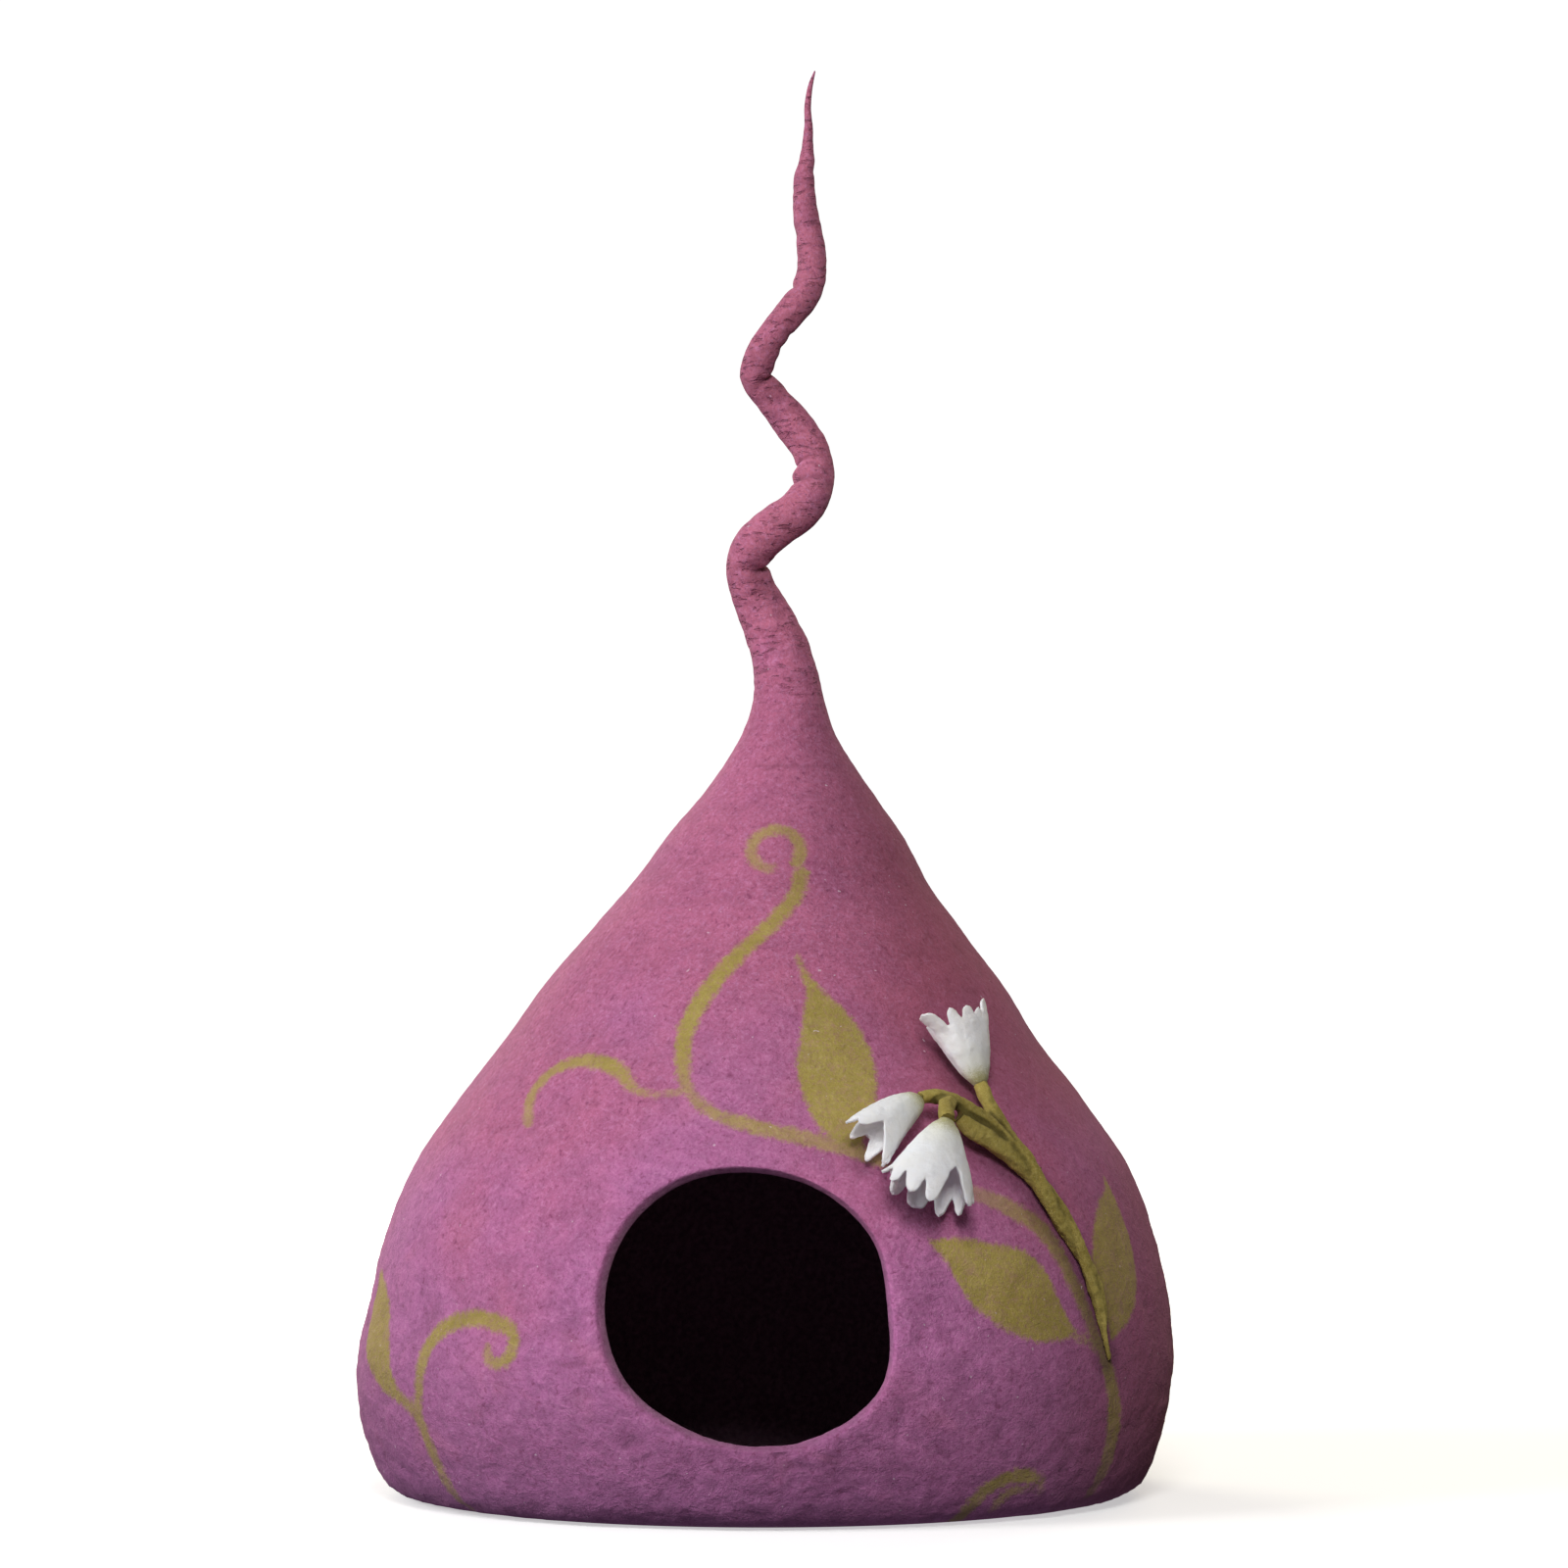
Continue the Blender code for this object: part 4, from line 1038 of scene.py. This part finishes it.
# ---------------------------------------------------------------- the stem
def make_stem(material):
    """Strands of green wool, ridged along their length and felted together."""
    # the strands are laid a little fat, melted together, then drawn back in
    skin = Skin()
    around, fat = 26, 1.3

    def strand(middle, out, radius, seed):
        way = unit(np.gradient(middle, axis=0))
        side = unit(np.cross(out, way))
        top = np.cross(way, side)
        turn = np.arange(around) * 2 * math.pi / around
        length = np.concatenate([[0], np.cumsum(np.linalg.norm(np.diff(middle, axis=0), axis=1))])
        rings = []
        for i in range(len(middle)):
            twist = turn + length[i] / 24.0
            r = (radius[i] + fat) * (1 + 0.035 * np.cos(3 * twist + seed) + 0.03 * np.cos(5 * twist - 1.3 * seed))
            rings.append(skin.add(middle[i] + (r * np.cos(turn))[:, None] * side[i] + (r * np.sin(turn))[:, None] * top[i]))
        for a, b in zip(rings, rings[1:]):
            skin.bridge(a, b)
        skin.cap(rings[0], flip=True)
        skin.cap(rings[-1])

    for seed, rows in enumerate(STRANDS.values()):
        line = smooth_rows(rows, 10)
        middle, out = on_cave(line[:, 0], line[:, 1], line[:, 2])
        strand(middle, out, line[:, 3], seed)
    line = smooth_rows(TWIST, 12)
    middle, out = on_cave(line[:, 0], line[:, 1], line[:, 2])
    way = unit(np.gradient(middle, axis=0))
    side = unit(np.cross(out, way))
    length = np.concatenate([[0], np.cumsum(np.linalg.norm(np.diff(middle, axis=0), axis=1))])
    for seed in (0, 1):
        turn = length / TWIST_PITCH * 2 * math.pi + seed * math.pi + 0.4
        shift = 0.40 * line[:, 3:4] * (np.cos(turn)[:, None] * side + 0.6 * np.sin(turn)[:, None] * out)
        strand(middle + shift, out, 0.72 * line[:, 3], seed + 5)
    points, _, faces = skin.arrays()
    stem = put("stem_of_wool", points, faces, None)
    melt = stem.modifiers.new("felted", "REMESH")
    melt.mode = "VOXEL"
    melt.voxel_size = 0.6 * MM
    relax = stem.modifiers.new("relax", "SMOOTH")
    relax.factor = 0.5
    relax.iterations = 5
    applied(stem)
    set_coords(stem.data, coords(stem.data) - fat * normals(stem.data))
    relax = stem.modifiers.new("relax", "SMOOTH")
    relax.factor = 0.5
    relax.iterations = 4
    applied(stem)
    p, n = coords(stem.data), normals(stem.data)
    lift = 0.50 * grain(p, 8.0, 1.0) + 0.34 * grain(p, 3.6, 4.0) + 0.14 * grain(p, 1.7, 8.0)
    set_coords(stem.data, p + n * lift[:, None])
    attribute(stem.data, "hollow", np.clip(hollows(stem.data, 60), -2, 2))
    stem.data.materials.append(material)
    return stem


# ---------------------------------------------------------------- the flowers
def make_flower(name, flower, material):
    """A cup of thin felt with blunt petals, felted together."""
    crown, out = (v[0] for v in on_cave(*flower["crown"]))
    mouth = on_cave(*flower["mouth"])[0][0]
    axis = unit(mouth - crown)
    off = unit(out - axis * float(out @ axis))
    along = np.cross(off, axis)
    side = smooth_rows(flower["side"], 6)
    squash, cup = flower["squash"], flower["cup"]
    notch_angle, notch_edge, notch_width = flower.get("notch", (0, cup, 10))

    def spot(s, angle, extra=0.0):
        r = np.interp(s, side[:, 0], side[:, 1]) + extra
        lean = flower["lean"] * 4 * np.clip(s / 46, 0, 1) * (1 - np.clip(s / 46, 0, 1))
        r = np.asarray(r)[..., None]
        s = np.asarray(s)[..., None]
        a = np.asarray(angle)[..., None]
        return crown + axis * s + r * (np.cos(a) * along + squash * np.sin(a) * off) + np.asarray(lean)[..., None] * along

    skin = Skin()
    around = 72
    turn = np.arange(around) * 2 * math.pi / around
    tip = skin.add([crown])
    steps = [0.02, 0.05, 0.09, 0.14, 0.2, 0.27, 0.35, 0.43, 0.51, 0.59, 0.67, 0.75, 0.83, 0.91, 1.0]
    rings = []
    for f in steps:
        away = (np.degrees(turn) - notch_angle + 180) % 360 - 180
        rim = cup + 0.9 * np.sin(turn * 3 + 1.0) - (cup - notch_edge) * np.exp(-(away / notch_width) ** 2)
        flute = 0.35 * np.cos(turn * len(flower["petals"])) * f
        rings.append(skin.add(spot(f * rim, turn, flute)))
    skin.fan(rings[0][::-1], tip[0])
    for a, b in zip(rings, rings[1:]):
        skin.bridge(a, b)
    for angle, tip_angle, length, half_width, curl, tip_width in flower["petals"]:
        start = cup * 0.55
        u = np.linspace(0, 1, 30)
        v = np.linspace(-1, 1, 15)
        s = start + (length - start) * u
        free = np.clip((s - cup * 0.9) / (length - cup * 0.9), 0, 1)
        base = np.interp(s, side[:, 0], side[:, 1])
        rounded = np.sqrt(np.clip(1 - np.clip((free - 0.70) / 0.30, 0, 1) ** 2.4, 0.015, 1))
        width = half_width * (1.0 - (1.0 - tip_width) * smooth01(free * 1.1)) * rounded
        middle = angle + (tip_angle - angle) * free
        grid = []
        for i in range(len(u)):
            a = math.radians(middle[i]) + v * width[i] / base[i]
            bulge = curl * free[i] ** 1.5 - 0.6 * free[i] * v**2 + 0.25 * math.sin(angle)
            grid.append(skin.add(spot(np.full(len(v), s[i]), a, bulge)))
        for a, b in zip(grid, grid[1:]):
            for j in range(len(v) - 1):
                skin.quad(a[j], a[j + 1], b[j + 1], b[j])
    points, _, faces = skin.arrays()
    bell = put("flower_" + name, points, faces, None)
    thick = bell.modifiers.new("felt", "SOLIDIFY")
    thick.thickness = BELL_FELT * MM
    thick.offset = -1.0
    thick.use_even_offset = False
    melt = bell.modifiers.new("felted", "REMESH")
    melt.mode = "VOXEL"
    melt.voxel_size = 0.5 * MM
    relax = bell.modifiers.new("relax", "SMOOTH")
    relax.factor = 0.5
    relax.iterations = 3
    applied(bell)
    p, n = coords(bell.data), normals(bell.data)
    lift = 0.30 * grain(p, 9.0, 2.0) + 0.26 * grain(p, 3.6, 6.0) + 0.10 * grain(p, 1.7, 1.0)
    set_coords(bell.data, p + n * lift[:, None])
    attribute(bell.data, "crown", (p - crown) @ axis)
    attribute(bell.data, "hollow", np.clip(hollows(bell.data, 50), -2, 2))
    bell.data.materials.append(material)
    return bell


# ---------------------------------------------------------------- stage
def make_stage():
    """A pale round floor that sweeps up into a bright ring."""
    mat = bpy.data.materials.new("pale_paper")
    mat.use_nodes = True
    nodes, links = mat.node_tree.nodes, mat.node_tree.links
    shader = nodes["Principled BSDF"]
    shader.inputs["Base Color"].default_value = (0.84, 0.84, 0.84, 1)
    shader.inputs["Roughness"].default_value = 0.9
    shader.inputs["Specular IOR Level"].default_value = 0.05
    where = nodes.new("ShaderNodeTexCoord").outputs["Object"]
    reach = nodes.new("ShaderNodeVectorMath")
    reach.operation = "LENGTH"
    links.new(where, reach.inputs[0])
    fade = nodes.new("ShaderNodeMapRange")
    fade.interpolation_type = "SMOOTHSTEP"
    for key, value in (("From Min", 0.4), ("From Max", 1.8), ("To Min", 0.49), ("To Max", 0.80)):
        fade.inputs[key].default_value = value
    links.new(reach.outputs["Value"], fade.inputs["Value"])
    shader.inputs["Emission Color"].default_value = (1, 1, 1, 1)
    links.new(fade.outputs[0], shader.inputs["Emission Strength"])

    skin = Skin()
    around = 96
    turn = np.arange(around) * 2 * math.pi / around
    circle = np.stack([np.cos(turn), np.sin(turn), 0 * turn], 1)
    profile = [(r, 0.0) for r in (0.15, 0.4, 0.8, 1.4, 2.0, 2.8)]
    for k in range(1, 13):
        a = k / 12 * math.pi / 2
        profile.append((2.8 + 1.4 * math.sin(a), 1.4 * (1 - math.cos(a))))
    profile.append((4.2, 4.5))
    middle = skin.add([(0, 0, -0.0004)])
    rings = [skin.add(circle * [r, r, 1] + [0, 0, z - 0.0004]) for r, z in profile]
    skin.fan(rings[0], middle[0])
    for a, b in zip(rings, rings[1:]):
        skin.bridge(a, b, flip=True)
    points, _, faces = skin.arrays()
    stage = put("studio_floor", points / MM, faces, mat)
    # it doesn't throw its light back at the wool
    stage.visible_diffuse = False
    stage.visible_glossy = False


def area_light(name, azimuth, elevation, distance, size, strength, colour):
    """A soft light aimed at the middle of the cave; strength is what a facing white sheet sends back."""
    a, e = math.radians(azimuth), math.radians(elevation)
    aim = Vector((0.0, 0.0, 0.25))
    light = bpy.data.lights.new(name, "AREA")
    light.shape = "DISK"
    light.size = size
    light.energy = strength * math.pi**2 * distance**2
    light.color = colour
    lamp = bpy.data.objects.new(name, light)
    lamp.location = aim + distance * Vector((math.cos(e) * math.sin(a), -math.cos(e) * math.cos(a), math.sin(e)))
    lamp.rotation_euler = (aim - lamp.location).to_track_quat("-Z", "Y").to_euler()
    lamp.visible_camera = False
    bpy.context.scene.collection.objects.link(lamp)


def make_light():
    world = bpy.data.worlds.new("studio")
    bpy.context.scene.world = world
    world.use_nodes = True
    nodes, links = world.node_tree.nodes, world.node_tree.links
    way = nodes.new("ShaderNodeSeparateXYZ")
    links.new(nodes.new("ShaderNodeTexCoord").outputs["Generated"], way.inputs[0])

    def ramp(value, low, high):
        n = nodes.new("ShaderNodeMapRange")
        n.interpolation_type = "SMOOTHSTEP"
        n.inputs["From Min"].default_value, n.inputs["From Max"].default_value = low, high
        links.new(value, n.inputs["Value"])
        return n.outputs[0]

    def mix(factor, a, b):
        n = nodes.new("ShaderNodeMix")
        n.data_type = "RGBA"
        links.new(factor, n.inputs[0])
        for i, value in ((6, a), (7, b)):
            if isinstance(value, tuple):
                n.inputs[i].default_value = (*value, 1)
            else:
                links.new(value, n.inputs[i])
        return n.outputs[2]

    right = ramp(way.outputs[0], -0.5, 0.7)
    above = mix(right, (0.20, 0.19, 0.20), (0.04, 0.035, 0.028))
    below = mix(right, (0.17, 0.17, 0.22), (0.08, 0.068, 0.06))
    links.new(mix(ramp(way.outputs[2], -0.2, 0.25), below, above), nodes["Background"].inputs[0])
    area_light("key", -60, 22, 3.3, 1.3, 0.52, (0.98, 1.0, 1.0))
    area_light("front", 1, 29, 3.3, 1.0, 0.505, (1.0, 1.0, 0.98))
    area_light("rim_left", -150, 18, 3.0, 1.6, 0.50, (1.0, 0.98, 0.74))
    area_light("rim_right", 150, 30, 3.0, 1.6, 0.27, (1.0, 0.82, 0.60))


def make_camera():
    lens = bpy.data.cameras.new("camera")
    lens.sensor_width = 36.0
    lens.lens = 105.8
    lens.clip_end = 50.0
    cam = bpy.data.objects.new("camera", lens)
    cam.location = (0.011, -2.60, 0.271)
    cam.rotation_euler = (math.radians(92.78), 0, 0)
    bpy.context.scene.collection.objects.link(cam)
    bpy.context.scene.camera = cam


def mark_spray_shade(shell, spray):
    """Marks the wool beside the spray for its painted shadow: 1 where they touch, 0 from 16 mm on."""
    points = coords(shell.data)
    held = np.vstack([coords(piece.data)[::4] for piece in spray])
    tree = kdtree.KDTree(len(held))
    for i, p in enumerate(held):
        tree.insert(p, i)
    tree.balance()
    near = np.zeros(len(points))
    for i in np.where(((points > held.min(0) - 16) & (points < held.max(0) + 16)).all(1))[0]:
        near[i] = 1 - min(tree.find(points[i])[2] / 16, 1)
    attribute(shell.data, "near", near)


# ---------------------------------------------------------------- all together
make_camera()
shell = make_shell()
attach(shell, "root")
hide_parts("felt_shell")

stem = make_stem(olive_felt())
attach(stem, "root")
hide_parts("stem")

white = white_felt()
spray = [stem]
for flower_name, flower in FLOWERS.items():
    bell = make_flower(flower_name, flower, white)
    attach(bell, "root")
    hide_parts(flower["node"])
    spray.append(bell)
mark_spray_shade(shell, spray)

make_stage()
make_light()
bpy.context.scene.view_settings.view_transform = "Standard"
